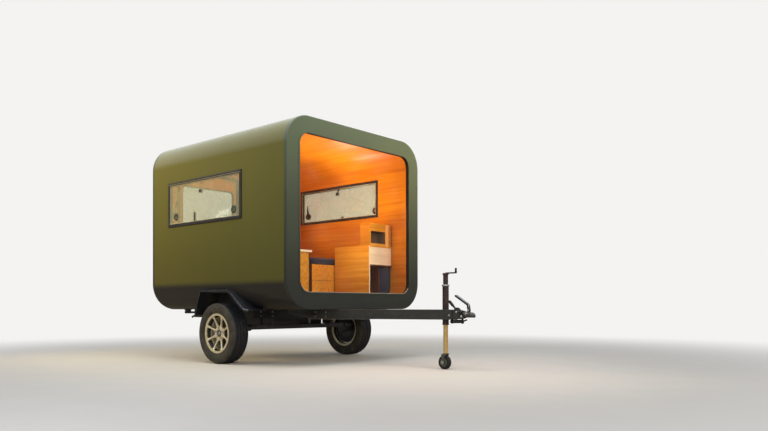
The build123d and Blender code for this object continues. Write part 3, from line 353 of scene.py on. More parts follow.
okoume = ("#CE770A", "#E08C0E", "#EA9D18")
light_board = (veneer, 0, "#C4761C", "#D7922A", "#E5A43C")
birch_laminate = finish("pale_birch_laminate", veneer, 1, "#E6CDB0", "#F0DDC4", "#F6E9D8", 0.36)
# The lining's two tints are painted light under the roof and painted shade below the windows.
dress(finish("okoume_plywood_along", veneer, 0, *okoume, pale_top="#F6C48E"), "lining")
dress(finish("okoume_plywood_across", veneer, 1, *okoume), "rear_trim", "front_trim")
dress(finish("okoume_plywood_board", *light_board), "counter")
dress(birch_laminate, "cabinet_fascia", "counter_top")

# %% [markdown]
# ## Clouds of a second tone
#
# Plastics, rubber, powder coat and plated metal differ in colour, grain and shine, but they age
# alike: dust, bloom or rust comes in soft clouds of a second tone, and is duller or brighter than the
# rest. One function lays such clouds over any fine relief, and each finish gives it its own settings.

# %% Clouded finish
def clouded(tree, tones, cloud, edges, rough, relief, gloss_edges=(0, 1), **shine):
    """Two tones and two degrees of gloss in clouds. The cloud is the noise's scale, detail and
    roughness, the edges say where the second tone starts and is full, and the relief is what
    stands up, how strongly, and how high in millimetres."""
    noise = add(tree, "TexNoise", {"Vector": add(tree, "TexCoord", out="Object"), "Scale": cloud[0],
                                   "Detail": cloud[1], "Roughness": cloud[2]})
    share = add(tree, "MapRange", {"Value": noise, "From Min": edges[0], "From Max": edges[1]})
    tone = add(tree, "Mix", {0: share, 6: tones[0], 7: tones[1]}, 2, data_type="RGBA")
    dull = add(tree, "MapRange", {"Value": noise, "From Min": gloss_edges[0],
                                  "From Max": gloss_edges[1], "To Min": rough[0], "To Max": rough[1]})
    bump = add(tree, "Bump", {"Height": relief[0], "Strength": relief[1],
                              "Distance": relief[2] / 1000})
    made = add(tree, "BsdfPrincipled", {"Base Color": tone, "Roughness": dull, "Normal": bump})
    for name, value in shine.items():
        made.node.inputs[name.replace("_", " ")].default_value = value
    return made


# %% [markdown]
# ## Plastics and rubber
#
# The window frames, door handle and wheel boxes are moulded in black ABS. A mould leaves a fine even
# grain on such parts, spark-eroded into the steel, that breaks the gloss up. The gasket and seals are
# extruded EPDM rubber: nearly black, very matt, with a grey bloom. The grain is drawn at 1.5 mm,
# three times its real size.

# %% Moulded plastic and rubber
def moulded(tree, colour, bloom, rough, grain_mm, depth_mm, specular=0.5):
    """A grained plastic or rubber with clouds of dusty bloom."""
    cells = add(tree, "TexVoronoi", {"Vector": add(tree, "TexCoord", out="Object"),
                                     "Scale": 1000 / grain_mm})
    return clouded(tree, (colour, bloom), (7, 6, 0.65), (0.42, 0.75), (rough - 0.08, rough + 0.12),
                   (cells, 0.35, depth_mm), Specular_IOR_Level=specular)


black_abs = finish("black_abs_plastic", moulded, "#232120", "#35312D", 0.42, 1.5, 0.3)
epdm_rubber = finish("epdm_rubber", moulded, "#1C1B1A", "#33302C", 0.72, 1.2, 0.3, 0.3)
dress(black_abs, "side_window_frames", "side_window_catches", "door_window_frame", "door_handle",
      "wheel_boxes", "batteries", "water_tank")
dress(epdm_rubber, "door_frame", "bellows", "jockey_wheel")
dress(finish("navy_polypropylene", moulded, "#1A2A44", "#263A58", 0.45, 2, 0.4), "cool_box")

# %% [markdown]
# ## Clear panes
#
# The windows are cast acrylic sheet, clear and colourless. Seen straight on, such a pane is nearly
# invisible; at a flat angle it mirrors the sky. A Fresnel node gives that share of mirror for
# acrylic's refractive index of 1.49, and the rest is simply transparent, so lamps light the cabin
# through it. A trace of dust scatters a little light. The side panes are two thin sheets with an
# even pale green film between the stays, partly a bloom of scratches and road dust and partly a
# painted reflection of the sky, so they look paler and greener.

# %% Acrylic
def clear_sheet(tree, tint, haze, film=0, dust_and_reflection_tone="#D8D2C6"):
    """A thin transparent pane: Fresnel mirror, dust patches, and a film of dust and painted reflection."""
    place = add(tree, "TexCoord", out="Object")
    specks = add(tree, "TexNoise", {"Vector": place, "Scale": 5, "Detail": 8})
    share = add(tree, "MapRange", {"Value": specks, "From Min": 0.45, "From Max": 0.8,
                                   "To Min": film, "To Max": film + haze})
    through = add(tree, "BsdfTransparent", {"Color": tint})
    dust = add(tree, "BsdfDiffuse", {"Color": dust_and_reflection_tone})
    pane = add(tree, "MixShader", {0: share, 1: through, 2: dust})
    mirror = add(tree, "BsdfGlossy", {"Color": "#FFFFFF", "Roughness": 0.03})
    angle = add(tree, "Fresnel", {"IOR": 1.49})
    inside = add(tree, "NewGeometry", out="Backfacing")
    outside = add(tree, "Math", {0: 1, 1: inside}, operation="SUBTRACT")
    angle = add(tree, "Math", {0: angle, 1: outside}, operation="MULTIPLY")
    return add(tree, "MixShader", {0: angle, 1: pane, 2: mirror})


cast_acrylic = finish("cast_acrylic", clear_sheet, "#FBFCFA", 0.02)
# On the side panes the even film is partly dust and partly a painted reflection of the sky.
tinted_acrylic = finish("grey_green_tinted_acrylic", clear_sheet, "#EDEFE6", 0.12, 0.30, "#CFD3B4")
dress(cast_acrylic, "front_window", "door_pane")
dress(tinted_acrylic, "side_window_panes")

# %% [markdown]
# ## Metals
#
# The chassis is pressed steel channel under a black powder coat. Powder melts into a skin with a
# fine, even orange peel, satin rather than glossy, and grit from the road scuffs it. The Bevel node
# could find edges, but it slows every ray, so a noise stands in for scattered scuffs. Bright zinc is
# a true metal, so Metallic is 1 and the IOR stays at the default. The leg of the jack is plated with
# yellow zinc, whose film dulls the metal a little, and the brake drums are raw cast iron under a skin
# of rust, which is hardly a metal to the eye: both have a lower Metallic. The peel is drawn at 4 mm
# and the fine scratches of plated metal at 2 mm, coarser than real ones, so that they show.

# %% Coated and bare metal
def powder_coat(tree, colour, scuff, rough):
    """Powder-coated steel with faint dusty scuffs."""
    peel = add(tree, "TexNoise", {"Vector": add(tree, "TexCoord", out="Object"), "Scale": 260,
                                  "Detail": 1})
    return clouded(tree, (colour, scuff), (8, 8, 0.7), (0.5, 0.85), (rough - 0.1, rough + 0.2),
                   (peel, 0.2, 0.6), Coat_Weight=0.1)


def bare_metal(tree, colour, stain, rough, rough_stain, scale=30, metallic=1):
    """Plated or machined metal with clouds of a second tone."""
    scratches = add(tree, "TexNoise", {"Vector": add(tree, "TexCoord", out="Object"), "Scale": 500,
                                       "Detail": 2})
    return clouded(tree, (colour, stain), (scale, 7, 0.65), (0.4, 0.7), (rough, rough_stain),
                   (scratches, 0.15, 0.3), (0.35, 0.7), Metallic=metallic)


black_powder = finish("black_powder_coat", powder_coat, "#30302E", "#4A4740", 0.42)
jack_powder = finish("brown_black_powder_coat", powder_coat, "#2C201D", "#4A3B32", 0.40)
fork_powder = finish("grey_brown_powder_coat", powder_coat, "#4A4738", "#5C5848", 0.42)
stone_guard = finish("black_stone_guard", powder_coat, "#191A1F", "#2B2C31", 0.5)
yellow_zinc = finish("yellow_zinc_plate", bare_metal, "#FBD693", "#E9B866", 0.28, 0.42, metallic=0.85)
bright_zinc = finish("bright_zinc_plate", bare_metal, "#C9CBCC", "#9FA09C", 0.28, 0.45)
rusty_iron = finish("rusty_cast_iron", bare_metal, "#3B322C", "#33221A", 0.65, 0.85, 22, 0.4)
dress(stone_guard, "mudguards")
dress(black_powder, "axle", "suspension_arms", "steady_brackets", "steady_left", "steady_right",
      "overrun_housing", "coupling_head", "jack_clamp", "handbrake_lever", "coupling_handle",
      "door_hinges", "wall_hinges")
dress(jack_powder, "jack_tube", "jack_crank")
dress(fork_powder, "jockey_fork")
dress(yellow_zinc, "jack_leg")
dress(rusty_iron, "brake_drum_left", "brake_drum_right")

# %% [markdown]
# ## Two finishes on one piece
#
# Some pieces carry two finishes: the window gasket has a painted front lip over black rubber, and the
# door leaf is olive outside and plywood inside. A mask worked out from Object coordinates picks one
# finish or the other, and a Mix Shader joins them. Nothing has to be cut in the mesh for it. In the
# cabin a dark veneer paints the shade inside the cabinet's niche, on the bench's end and on the wall
# box's side, and a pale powder paints a highlight along the chassis's upper flanges.

# %% Masks and pieces with two finishes
def beyond(tree, value, limit, soft=0.0004):
    """1 above a limit and 0 below it, with a soft step, or the other way round where soft is
    negative. The value is a node's output, or X, Y or Z for one of the Object coordinates."""
    if isinstance(value, str):
        value = add(tree, "SeparateXYZ", {0: add(tree, "TexCoord", out="Object")}, value)
    return add(tree, "MapRange", {"Value": value, "From Min": limit - soft, "From Max": limit + soft})


def split(tree, axis, limit, below, above):
    """One finish below a limit along an axis and another above it, each with its settings."""
    mask = beyond(tree, axis, limit)
    return add(tree, "MixShader", {0: mask, 1: below[0](tree, *below[1:]),
                                   2: above[0](tree, *above[1:])})


# A dark veneer that paints the shade inside the cabinet's niche and on the bench's end.
shade_veneer = (veneer, 2, "#4E2E1C", "#643E28", "#7A4E34", 0.5)
cabinet_low, cabinet_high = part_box("cabinet")
fascia_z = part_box("cabinet_fascia")[0].z
under_fascia = (split, "Z", fascia_z + 0.001, shade_veneer, light_board)
for piece, name, axis, limit, below, above in (
        ("cabinet", "cabinet_board_and_painted_shade", "Y", cabinet_low.y + 0.0155, light_board,
         under_fascia),
        ("bench", "bench_board_and_painted_shade", "Y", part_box("bench")[0].y + 0.002, shade_veneer,
         light_board),
        # The wall box's side takes a darker veneer, which is painted shade.
        ("wall_box", "box_front_and_shaded_side_veneer", "Y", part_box("wall_box")[0].y + 0.002,
         (veneer, 0, "#9E5C12", "#B06A16", "#BC7A24"), (veneer, 1, *light_board[2:])),
        # A pale powder on the rails above their upper edge is a painted highlight.
        ("chassis", "rail_powder_and_painted_highlight", "Z", LOW - 0.0008,
         (powder_coat, "#2D2E2B", "#474640", 0.42), (powder_coat, "#8C8A70", "#A6A288", 0.7)),
        ("front_gasket", "gasket_rubber_and_paint", "X", FRONT + 0.0022,
         (moulded, "#1A1816", "#2C2823", 0.72, 1.2, 0.3, 0.3), (sprayed_paint, *rim_film)),
        ("door_leaf", "door_paint_and_plywood", "X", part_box("door_leaf")[1].x - 0.002,
         (sprayed_paint, *olive_film), (veneer, 1, *okoume))):
    dress(finish(name, split, axis, limit, below, above), piece)

# %% [markdown]
# The alloy wheel is painted gold on its face and lips, and its barrel is painted near black, which
# paints the shade inside the wheel. Its mask is a ring: further from the axle than the spokes reach,
# and between the two lips.

# %% Wheel paint
SPOKE_REACH, LIP_START = 0.1735, 0.0715


def off_middle(tree):
    """Distance from the middle plane of the nearer wheel."""
    y = add(tree, "SeparateXYZ", {0: add(tree, "TexCoord", out="Object")}, "Y")
    across = add(tree, "Math", {0: y}, operation="ABSOLUTE")
    across = add(tree, "Math", {0: across, 1: WHEEL_Y}, operation="SUBTRACT")
    return add(tree, "Math", {0: across}, operation="ABSOLUTE")


def wheel_paint(tree):
    """Gold paint on the spokes, the hub and both lips, and painted shade in the barrel."""
    gold = bare_metal(tree, "#E9DFC0", "#D3C499", 0.34, 0.44, 18, 0.45)
    # A black powder in the barrel is painted shade.
    barrel_shade = powder_coat(tree, "#1C1B19", "#33302B", 0.55)
    place = add(tree, "TexCoord", out="Object")
    flat = add(tree, "VectorMath", {0: place, 1: (1, 0, 1), 2: (-AXLE_X, 0, -AXLE_Z)},
               operation="MULTIPLY_ADD")
    radius = add(tree, "VectorMath", {0: flat}, "Value", operation="LENGTH")
    outer = beyond(tree, radius, SPOKE_REACH)
    inner = beyond(tree, off_middle(tree), LIP_START, -0.0004)
    barrel = add(tree, "Math", {0: outer, 1: inner}, operation="MULTIPLY")
    return add(tree, "MixShader", {0: barrel, 1: gold, 2: barrel_shade})


dress(finish("gold_wheel_paint_and_barrel_shade", wheel_paint), "wheel_left", "wheel_right")

# %% [markdown]
# ## Floor covering and tail lamps
#
# The floor is a sandwich board under printed vinyl sheet: a grey-brown speckle of 6 mm chips, on which
# dirt does not show. Its edges and its underside are bare black film. A tail lamp is a box of
# clear-coloured acrylic whose inner side is moulded into small ribs and prisms, which spread the
# bulb's light and make the lens look striped. Its fields are red, amber and clear, from the top down.
# The ribs are drawn 20 mm apart and the prisms 9 mm wide, coarser than real ones, so that they show.

# %% Vinyl and lenses
def speckled_vinyl(tree):
    """Printed chips in three tones, worn to different gloss."""
    place = add(tree, "TexCoord", out="Object")
    chips = add(tree, "TexVoronoi", {"Vector": place, "Scale": 160}, "Color")
    chips = add(tree, "SeparateXYZ", {0: chips}, "X")
    print_tones = set_stops(add(tree, "ValToRGB", {0: chips}), (0, "#5B5046"), (0.45, "#6A5D50"),
                            (0.82, "#85796A"), interpolation="CONSTANT")
    wear = add(tree, "TexNoise", {"Vector": place, "Scale": 6, "Detail": 6})
    rough = add(tree, "MapRange", {"Value": wear, "To Min": 0.4, "To Max": 0.65})
    return add(tree, "BsdfPrincipled", {"Base Color": print_tones, "Roughness": rough,
                                        "Specular IOR Level": 0.4})


def ribbed_lens(tree, low, high):
    """Red, amber and clear acrylic with moulded ribs."""
    place = add(tree, "TexCoord", out="Object")
    height = add(tree, "SeparateXYZ", {0: place}, "Z")
    share = add(tree, "MapRange", {"Value": height, "From Min": low, "From Max": high})
    fields = set_stops(add(tree, "ValToRGB", {0: share}), (0, "#C9C6BE"), (0.30, "#D9780F"),
                       (0.62, "#A31410"), interpolation="CONSTANT")
    ribs = add(tree, "TexWave", {"Vector": place, "Scale": 16}, "Fac", bands_direction="Z")
    prisms = add(tree, "TexVoronoi", {"Vector": place, "Scale": 110})
    relief = add(tree, "Math", {0: prisms, 1: 0.5, 2: ribs}, operation="MULTIPLY_ADD")
    bump = add(tree, "Bump", {"Height": relief, "Strength": 0.5, "Distance": 0.002})
    return add(tree, "BsdfPrincipled", {
        "Base Color": fields, "Roughness": 0.12, "Normal": bump, "IOR": 1.49, "Coat Weight": 0.6,
        "Coat Roughness": 0.05})


black_film = (powder_coat, "#1F1D1A", "#38332C", 0.7)
lamp_base = (moulded, "#1C1B1A", "#2B2927", 0.5, 1.5, 0.3)
lamps_low, lamps_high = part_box("tail_lamps")
dress(finish("speckled_vinyl_floor", split, "Z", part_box("floor")[1].z - 0.003, black_film,
             (speckled_vinyl,)), "floor")
dress(finish("ribbed_lamp_acrylic", split, "X", BACK - 0.0145,
             (ribbed_lens, lamps_low.z, lamps_high.z), lamp_base), "tail_lamps")

# %% [markdown]
# ## Helpers for new pieces
#
# Every new piece starts as a bmesh. When it has its shape, one helper welds doubled points, turns
# the faces outwards, marks the sharp edges, gives it its material and lets it ride on the CAD body
# that carries it. Its place is in its mesh, so that patterns on Object coordinates stay put. The
# other helpers add bars, blocks, spun outlines and bolts to a bmesh. A second way to write a simple
# piece is a list of such parts.

# %% Piece helpers
def make(name, shape, material, body="trailer", angle=35, weld=1e-5):
    """Turn a bmesh into a finished piece that rides on a body."""
    bmesh.ops.remove_doubles(shape, verts=shape.verts, dist=weld)
    bmesh.ops.recalc_face_normals(shape, faces=shape.faces)
    piece = object_of(name, shape)
    piece.data.shade_smooth()
    piece.data.set_sharp_from_angle(angle=radians(angle))
    piece.data.materials.append(material)
    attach(piece, body)
    print(name, "has", len(piece.data.polygons), "faces and rides on", body)
    return piece


def build(name, material, slot, *parts, body="trailer"):
    """A piece from a list of parts, each a helper with its values."""
    shape = bmesh.new()
    for helper, *values in parts:
        helper(shape, *values)
    return make(name, shape, material, body)


def face_along(direction):
    """A turn that lays the z axis along a direction."""
    return Vector(direction).to_track_quat("Z", "Y").to_matrix().to_4x4()


def round_edges(shape, edges, bevel):
    """Round edges by a bevel in millimetres."""
    bmesh.ops.bevel(shape, geom=edges, offset=bevel / 1000, segments=2, affect="EDGES", profile=0.5,
                    material=-1)


def add_cuboid(shape, matrix, bevel):
    """A unit cube laid by a matrix, with its edges rounded."""
    made = bmesh.ops.create_cube(shape, size=1, matrix=matrix)
    if bevel:
        round_edges(shape, list({edge for vert in made["verts"] for edge in vert.link_edges}), bevel)


def add_rod(shape, start, end, radius, segments=20, tip=None):
    """A round bar or cone between two points."""
    start, end = Vector(start), Vector(end)
    turn = Matrix.Translation((start + end) / 2) @ face_along(end - start)
    bmesh.ops.create_cone(shape, cap_ends=True, segments=segments, radius1=radius / 1000,
                          radius2=(radius if tip is None else tip) / 1000,
                          depth=(end - start).length, matrix=turn)


def add_block(shape, low, high, bevel=0):
    """A block between two corners."""
    low, high = Vector(low), Vector(high)
    size = Matrix.Diagonal((*(high - low), 1))
    add_cuboid(shape, Matrix.Translation((low + high) / 2) @ size, bevel)


def add_bar(shape, start, end, width, thick, flat, bevel):
    """A flat bar between two points whose thin side faces along a direction."""
    start, end, flat = Vector(start), Vector(end), Vector(flat).normalized()
    ahead = (end - start).normalized()
    side = flat.cross(ahead).normalized()
    turn = Matrix((ahead, side, ahead.cross(side))).transposed().to_4x4()
    size = Matrix.Diagonal(((end - start).length, width / 1000, thick / 1000, 1))
    add_cuboid(shape, Matrix.Translation((start + end) / 2) @ turn @ size, bevel)


def add_turned(shape, outline, centre, axis, steps=32):
    """Spin an outline of (radius, distance along the axis) about an axis through the centre."""
    turn = Matrix.Translation(centre) @ face_along(axis)
    made = [shape.verts.new(turn @ Vector((radius / 1000, 0, far / 1000))) for radius, far in outline]
    edges = [shape.edges.new(pair) for pair in zip(made, made[1:])]
    bmesh.ops.spin(shape, geom=made + edges, cent=Vector(centre), axis=turn.to_3x3() @ Vector((0, 0, 1)),
                   angle=2 * pi, steps=steps, use_merge=True, use_duplicate=False)


WASHER_THICKNESS = 0.0015


def add_bolt(shape, place, axis, across, height, washer=0):
    """A hexagon head with a chamfered top, on a washer of a given radius if asked."""
    place, axis = Vector(place), Vector(axis).normalized()
    if washer:
        add_rod(shape, place, place + axis * WASHER_THICKNESS, washer)
        place = place + axis * WASHER_THICKNESS
    radius, height = across / 2 / cos(pi / 6), height / 1000
    shoulder = place + axis * height * 0.75
    add_rod(shape, place, shoulder, radius, 6)
    add_rod(shape, shoulder, place + axis * height, radius, 6, radius * 0.82)


print("helpers ready")

# %% [markdown]
# ## Tyres
#
# A tyre is a bag of revolution with a tread cut into it. We draw its outline from bead to bead as
# points of radius and distance from the middle plane. Five copies of it, turned over only one pitch
# of the tread, are joined by four strips of faces. Two of the strips are narrow, and their faces are
# pushed in where the cross cuts are. This wedge is then spun round the axle to close the ring. The
# cross cuts of neighbouring ribs are half a pitch apart, as on a road tyre, which keeps it from
# humming. It replaces the CAD tyre, which is plain.

# %% Tyre outline
half_tyre = [
    # bead and rim guard
    (191.5, 70), (199, 74.5), (208.5, 77.5), (210.5, 86.2), (215, 88.5),
    # ringed side wall
    (216.5, 86.2), (223, 89.3), (230, 92.5), (231.2, 91.2), (233, 91.2), (234.5, 93.8), (248, 96.2),
    (260, 97), (270, 96.6), (271.2, 95.3), (273, 95.2), (274.2, 96.2), (285, 94.5), (293, 92.5),
    (294.2, 90.5), (296.5, 90), (298, 91),
    # shoulder
    (305, 87.8), (310.5, 83.5), (314, 77.5), (315.8, 70), (316.5, 64),
    # ribs and grooves
    (316.7, 58.5), (308.5, 56), (308.5, 50.5), (317, 48), (317.2, 36), (317.3, 22.5), (309, 20),
    (309, 12), (317.5, 9.5), (317.5, 0)]
tyre_outline = [(radius / 1000, across / 1000) for radius, across in
                half_tyre + [(radius, -across) for radius, across in reversed(half_tyre[:-1])]]
print(len(tyre_outline), "points on the tyre's outline")

# %% Tyres
PITCHES = 64
RIB_TOP, SHOULDER_TOP, TREAD_EDGE = 0.3155, 0.3095, 0.07
OUTER_RIBS, MIDDLE_RIB = 0.035, 0.012
CUT_INSET, CUT_DEPTH = 0.0002, 0.0055


def tyre(name, side):
    """A treaded tyre about the axle, on the left (+1) or the right (-1)."""
    shape = bmesh.new()
    centre = Vector((AXLE_X, side * WHEEL_Y, AXLE_Z))
    rows, strips = [], []
    for share in (0, 0.4, 0.5, 0.9, 1):
        turn = Matrix.Translation(centre) @ Matrix.Rotation(share * 2 * pi / PITCHES, 4, "Y")
        rows.append([shape.verts.new(turn @ Vector((0, across, radius)))
                     for radius, across in tyre_outline])
    for first, second in zip(rows, rows[1:]):
        for pair in [*zip(first, first[1:]), *zip(second, second[1:])]:
            if not shape.edges.get(pair):
                shape.edges.new(pair)
        strips.append([shape.faces.new(corners) for corners in
                       zip(first, first[1:], second[1:], second)])
    for at_start, strip in ((True, strips[1]), (False, strips[3])):
        for face in strip:
            middle = face.calc_center_median() - centre
            radius, across = Vector((middle.x, 0, middle.z)).length, abs(middle.y)
            on_rib = (radius > RIB_TOP and across < TREAD_EDGE
                      and at_start == (across > OUTER_RIBS or across < MIDDLE_RIB))
            on_shoulder = at_start and radius > SHOULDER_TOP and across > TREAD_EDGE
            if on_rib or on_shoulder:
                bmesh.ops.inset_individual(shape, faces=[face], thickness=CUT_INSET, depth=-CUT_DEPTH)
    bmesh.ops.spin(shape, geom=shape.verts[:] + shape.edges[:] + shape.faces[:], cent=centre,
                   axis=(0, 1, 0), angle=2 * pi * (PITCHES - 1) / PITCHES, steps=PITCHES - 1,
                   use_duplicate=True)
    return make(name, shape, tyre_rubber,
                "wheel_set_left" if side > 0 else "wheel_set_right", angle=28, weld=2e-5)


# %% [markdown]
# Tyre rubber is black with soot, and its wax blooms to a dusty brown-grey where the ground and sun
# reach it, most on the side wall. Its sheen is broad and weak, broken by a grain of 1.4 mm.

# %% Tyre rubber
TREAD_HALF = 0.080


def dusty_rubber(tree):
    """Black rubber, with a paler bloom beyond the shoulder."""
    place = add(tree, "TexCoord", out="Object")
    dust = add(tree, "TexNoise", {"Vector": place, "Scale": 12, "Detail": 8, "Roughness": 0.7})
    share = add(tree, "MapRange", {"Value": dust, "From Min": 0.42, "From Max": 0.8, "To Max": 0.8})
    tread = add(tree, "Mix", {0: share, 6: "#212228", 7: "#38342F"}, 2, data_type="RGBA")
    wall = add(tree, "Mix", {0: share, 6: "#33312B", 7: "#5E594C"}, 2, data_type="RGBA")
    mask = beyond(tree, off_middle(tree), TREAD_HALF, 0.004)
    tone = add(tree, "Mix", {0: mask, 6: tread, 7: wall}, 2, data_type="RGBA")
    fine = add(tree, "TexNoise", {"Vector": place, "Scale": 700, "Detail": 2})
    relief = add(tree, "Bump", {"Height": fine, "Strength": 0.3, "Distance": 0.0005})
    return add(tree, "BsdfPrincipled", {"Base Color": tone, "Roughness": 0.68, "Normal": relief,
                                        "Specular IOR Level": 0.35})


tyre_rubber = finish("tyre_rubber", dusty_rubber)
for side, side_name in SIDES:
    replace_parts(tyre("treaded_tyre_" + side_name, side), "tyre_" + side_name)

# %% [markdown]
# ## Bench cushion
#
# The bench carries one long foam cushion in navy cotton canvas. A cushion is soft and crowned: its
# cover is pulled tight by the foam, so the top swells and the sides draw in between the corners. We
# copy the idea with a cloth simulation. A block a little smaller than the space is remeshed into
# small even faces, and Cloth blows it up with a light pressure while gravity is off. The bottom is
# then laid flat on the bench, because a cushion is flat where it rests.

# %% Cushion shape
cushion_low, cushion_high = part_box("bench_cushion")
shape = bmesh.new()
inset = Vector((0.022, 0.022, 0.010))
add_block(shape, cushion_low + inset, cushion_high - inset, 18)
cushion = object_of("cushion", shape)
bpy.context.view_layer.objects.active = cushion
cushion.select_set(True)
remesh = cushion.modifiers.new("remesh", "REMESH")
remesh.mode = "VOXEL"
remesh.voxel_size = 0.012
bpy.ops.object.modifier_apply(modifier="remesh")
print("cushion remeshed to", len(cushion.data.polygons), "faces")

# %% Cushion simulation
STEPS, FURTHEST, CROWN = 20, 0.020, 0.012
starts = [point.co.copy() for point in cushion.data.vertices]
cloth = cushion.modifiers.new("cloth", "CLOTH")
cloth.settings.use_pressure = True
cloth.settings.uniform_pressure_force = 4
cloth.settings.quality = 5
cloth.settings.effector_weights.gravity = 0
cloth.settings.tension_stiffness = 25
cloth.settings.compression_stiffness = 25
cloth.point_cache.frame_end = STEPS
for moment in range(1, STEPS + 1):
    bpy.context.scene.frame_set(moment)
bpy.ops.object.modifier_apply(modifier="cloth")
bpy.context.scene.frame_set(1)
for point, start in zip(cushion.data.vertices, starts):
    move = point.co - start
    if move.length > FURTHEST:
        point.co = start + move.normalized() * FURTHEST
    point.co.z = max(point.co.z, cushion_low.z + 0.0005)
    point.co.z = min(point.co.z, cushion_high.z + CROWN)
smoothed = cushion.modifiers.new("smoothed", "SUBSURF")
smoothed.levels = smoothed.render_levels = 1
print("cushion blown up")

# %% [markdown]
# The cover is a plain weave of thick navy yarn, about 1.2 mm apart in reality and drawn at 9 mm so
# that it shows. Two crossed bands of waves make the weave: where one yarn dips the other rises. Some
# fading lightens it in broad patches.

# %% Canvas
YARN_WAVE = 100 / 3  # a wave repeats every 314 mm at scale 1, so every 9.4 mm here


def woven(tree, colour, light):
    """A plain weave on Object coordinates."""
    place = add(tree, "TexCoord", out="Object")
    warp, weft = (add(tree, "TexWave", {"Vector": place, "Scale": YARN_WAVE, "Distortion": 0.4,
                                        "Detail": 1}, "Fac", bands_direction=axis) for axis in "XY")
    weave = add(tree, "Math", {0: warp, 1: weft}, operation="MAXIMUM")
    faded = add(tree, "TexNoise", {"Vector": place, "Scale": 5, "Detail": 5})
    share = add(tree, "Math", {0: weave, 1: 0.35, 2: -0.1}, operation="MULTIPLY_ADD")
    share = add(tree, "Math", {0: faded, 1: 0.6, 2: share}, operation="MULTIPLY_ADD", use_clamp=True)
    tone = add(tree, "Mix", {0: share, 6: colour, 7: light}, 2, data_type="RGBA")
    relief = add(tree, "Bump", {"Height": weave, "Strength": 0.5, "Distance": 0.0008})
    return add(tree, "BsdfPrincipled", {
        "Base Color": tone, "Roughness": 0.9, "Normal": relief, "Sheen Weight": 0.25,
        "Sheen Roughness": 0.5, "Specular IOR Level": 0.2})


cushion.data.materials.append(finish("navy_cotton_canvas", woven, "#1D2138", "#383E5C"))
cushion.data.shade_smooth()
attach(cushion, "trailer")
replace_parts(cushion, "bench_cushion")
print("cushion covered")

# %% [markdown]
# ## Frames and seals
#
# Many trims on this trailer are thin rectangular rings: seals round windows and the door, edge bands,
# beads. One helper makes them all. It starts from a four-sided disc scaled to the outer size, rounds
# its corners with a vertex bevel, insets it by the width of the band, deletes the middle, and
# extrudes the ring to its thickness.

# %% Ring helper
def add_ring(shape, low, high, band, corner=0, bevel=0, steps=6):
    """A rounded rectangular ring between two corners, flat along the axis where they are closest."""
    low, high = Vector(low), Vector(high)
    size = high - low
    flat = min(range(3), key=lambda axis: size[axis])
    wide = [axis for axis in range(3) if axis != flat]
    turn = Matrix.Identity(4)
    for column, axis in enumerate(wide + [flat]):
        for row in range(3):
            turn[row][column] = 1.0 if row == axis else 0.0
    place = Vector((low + high) / 2)
    place[flat] = low[flat]
    spread = Matrix.Diagonal((size[wide[0]], size[wide[1]], 1, 1)) @ Matrix.Rotation(pi / 4, 4, "Z")
    verts = bmesh.ops.create_circle(shape, cap_ends=True, segments=4, radius=0.5 * 2 ** 0.5,
                                    matrix=Matrix.Translation(place) @ turn @ spread)["verts"]
    face = verts[0].link_faces[0]
    if corner:
        bmesh.ops.bevel(shape, geom=verts, offset=corner / 1000, segments=steps, affect="VERTICES",
                        profile=0.5, material=-1)
        face = max((f for f in shape.faces if f.is_valid and len(f.verts) > 4
                    and (f.calc_center_median() - place).length < 1e-3
                    and abs(f.calc_center_median()[flat] - low[flat]) < 1e-6),
                   key=lambda f: f.calc_area())
    ring = bmesh.ops.inset_region(shape, faces=[face], thickness=band / 1000, use_even_offset=True,
                                  use_boundary=True)["faces"]
    bmesh.ops.delete(shape, geom=[face], context="FACES_ONLY")
    made = bmesh.ops.extrude_face_region(shape, geom=ring)["geom"]
    step = Vector((0, 0, 0))
    step[flat] = size[flat]
    bmesh.ops.translate(shape, verts=[v for v in made if isinstance(v, bmesh.types.BMVert)], vec=step)
    if bevel:
        round_edges(shape, [e for e in made if isinstance(e, bmesh.types.BMEdge)
                            and len(e.link_faces) == 2 and e.calc_face_angle() > 1.0], bevel)


print("ring helper ready")

# %% [markdown]
# ## Wheel trim
#
# What holds and finishes a wheel: a push-in centre cap of black plastic with a pale insert, five
# bolts with a round washer face, a rubber valve with its cap, and clip-on weights inside the rim.
# The cap is a spun outline. The bolts are hexagon heads in the pockets that the wheel already has.

# %% Wheel trim
HUB_FLOOR, POCKET_FLOOR = 0.9876, 0.9896


def on_wheel(side, radius, angle, across):
    """A place on a wheel: radius and angle from its top, and distance from the trailer's middle."""
    return Vector((AXLE_X + radius * sin(radians(angle)), side * across,
                   AXLE_Z + radius * cos(radians(angle))))


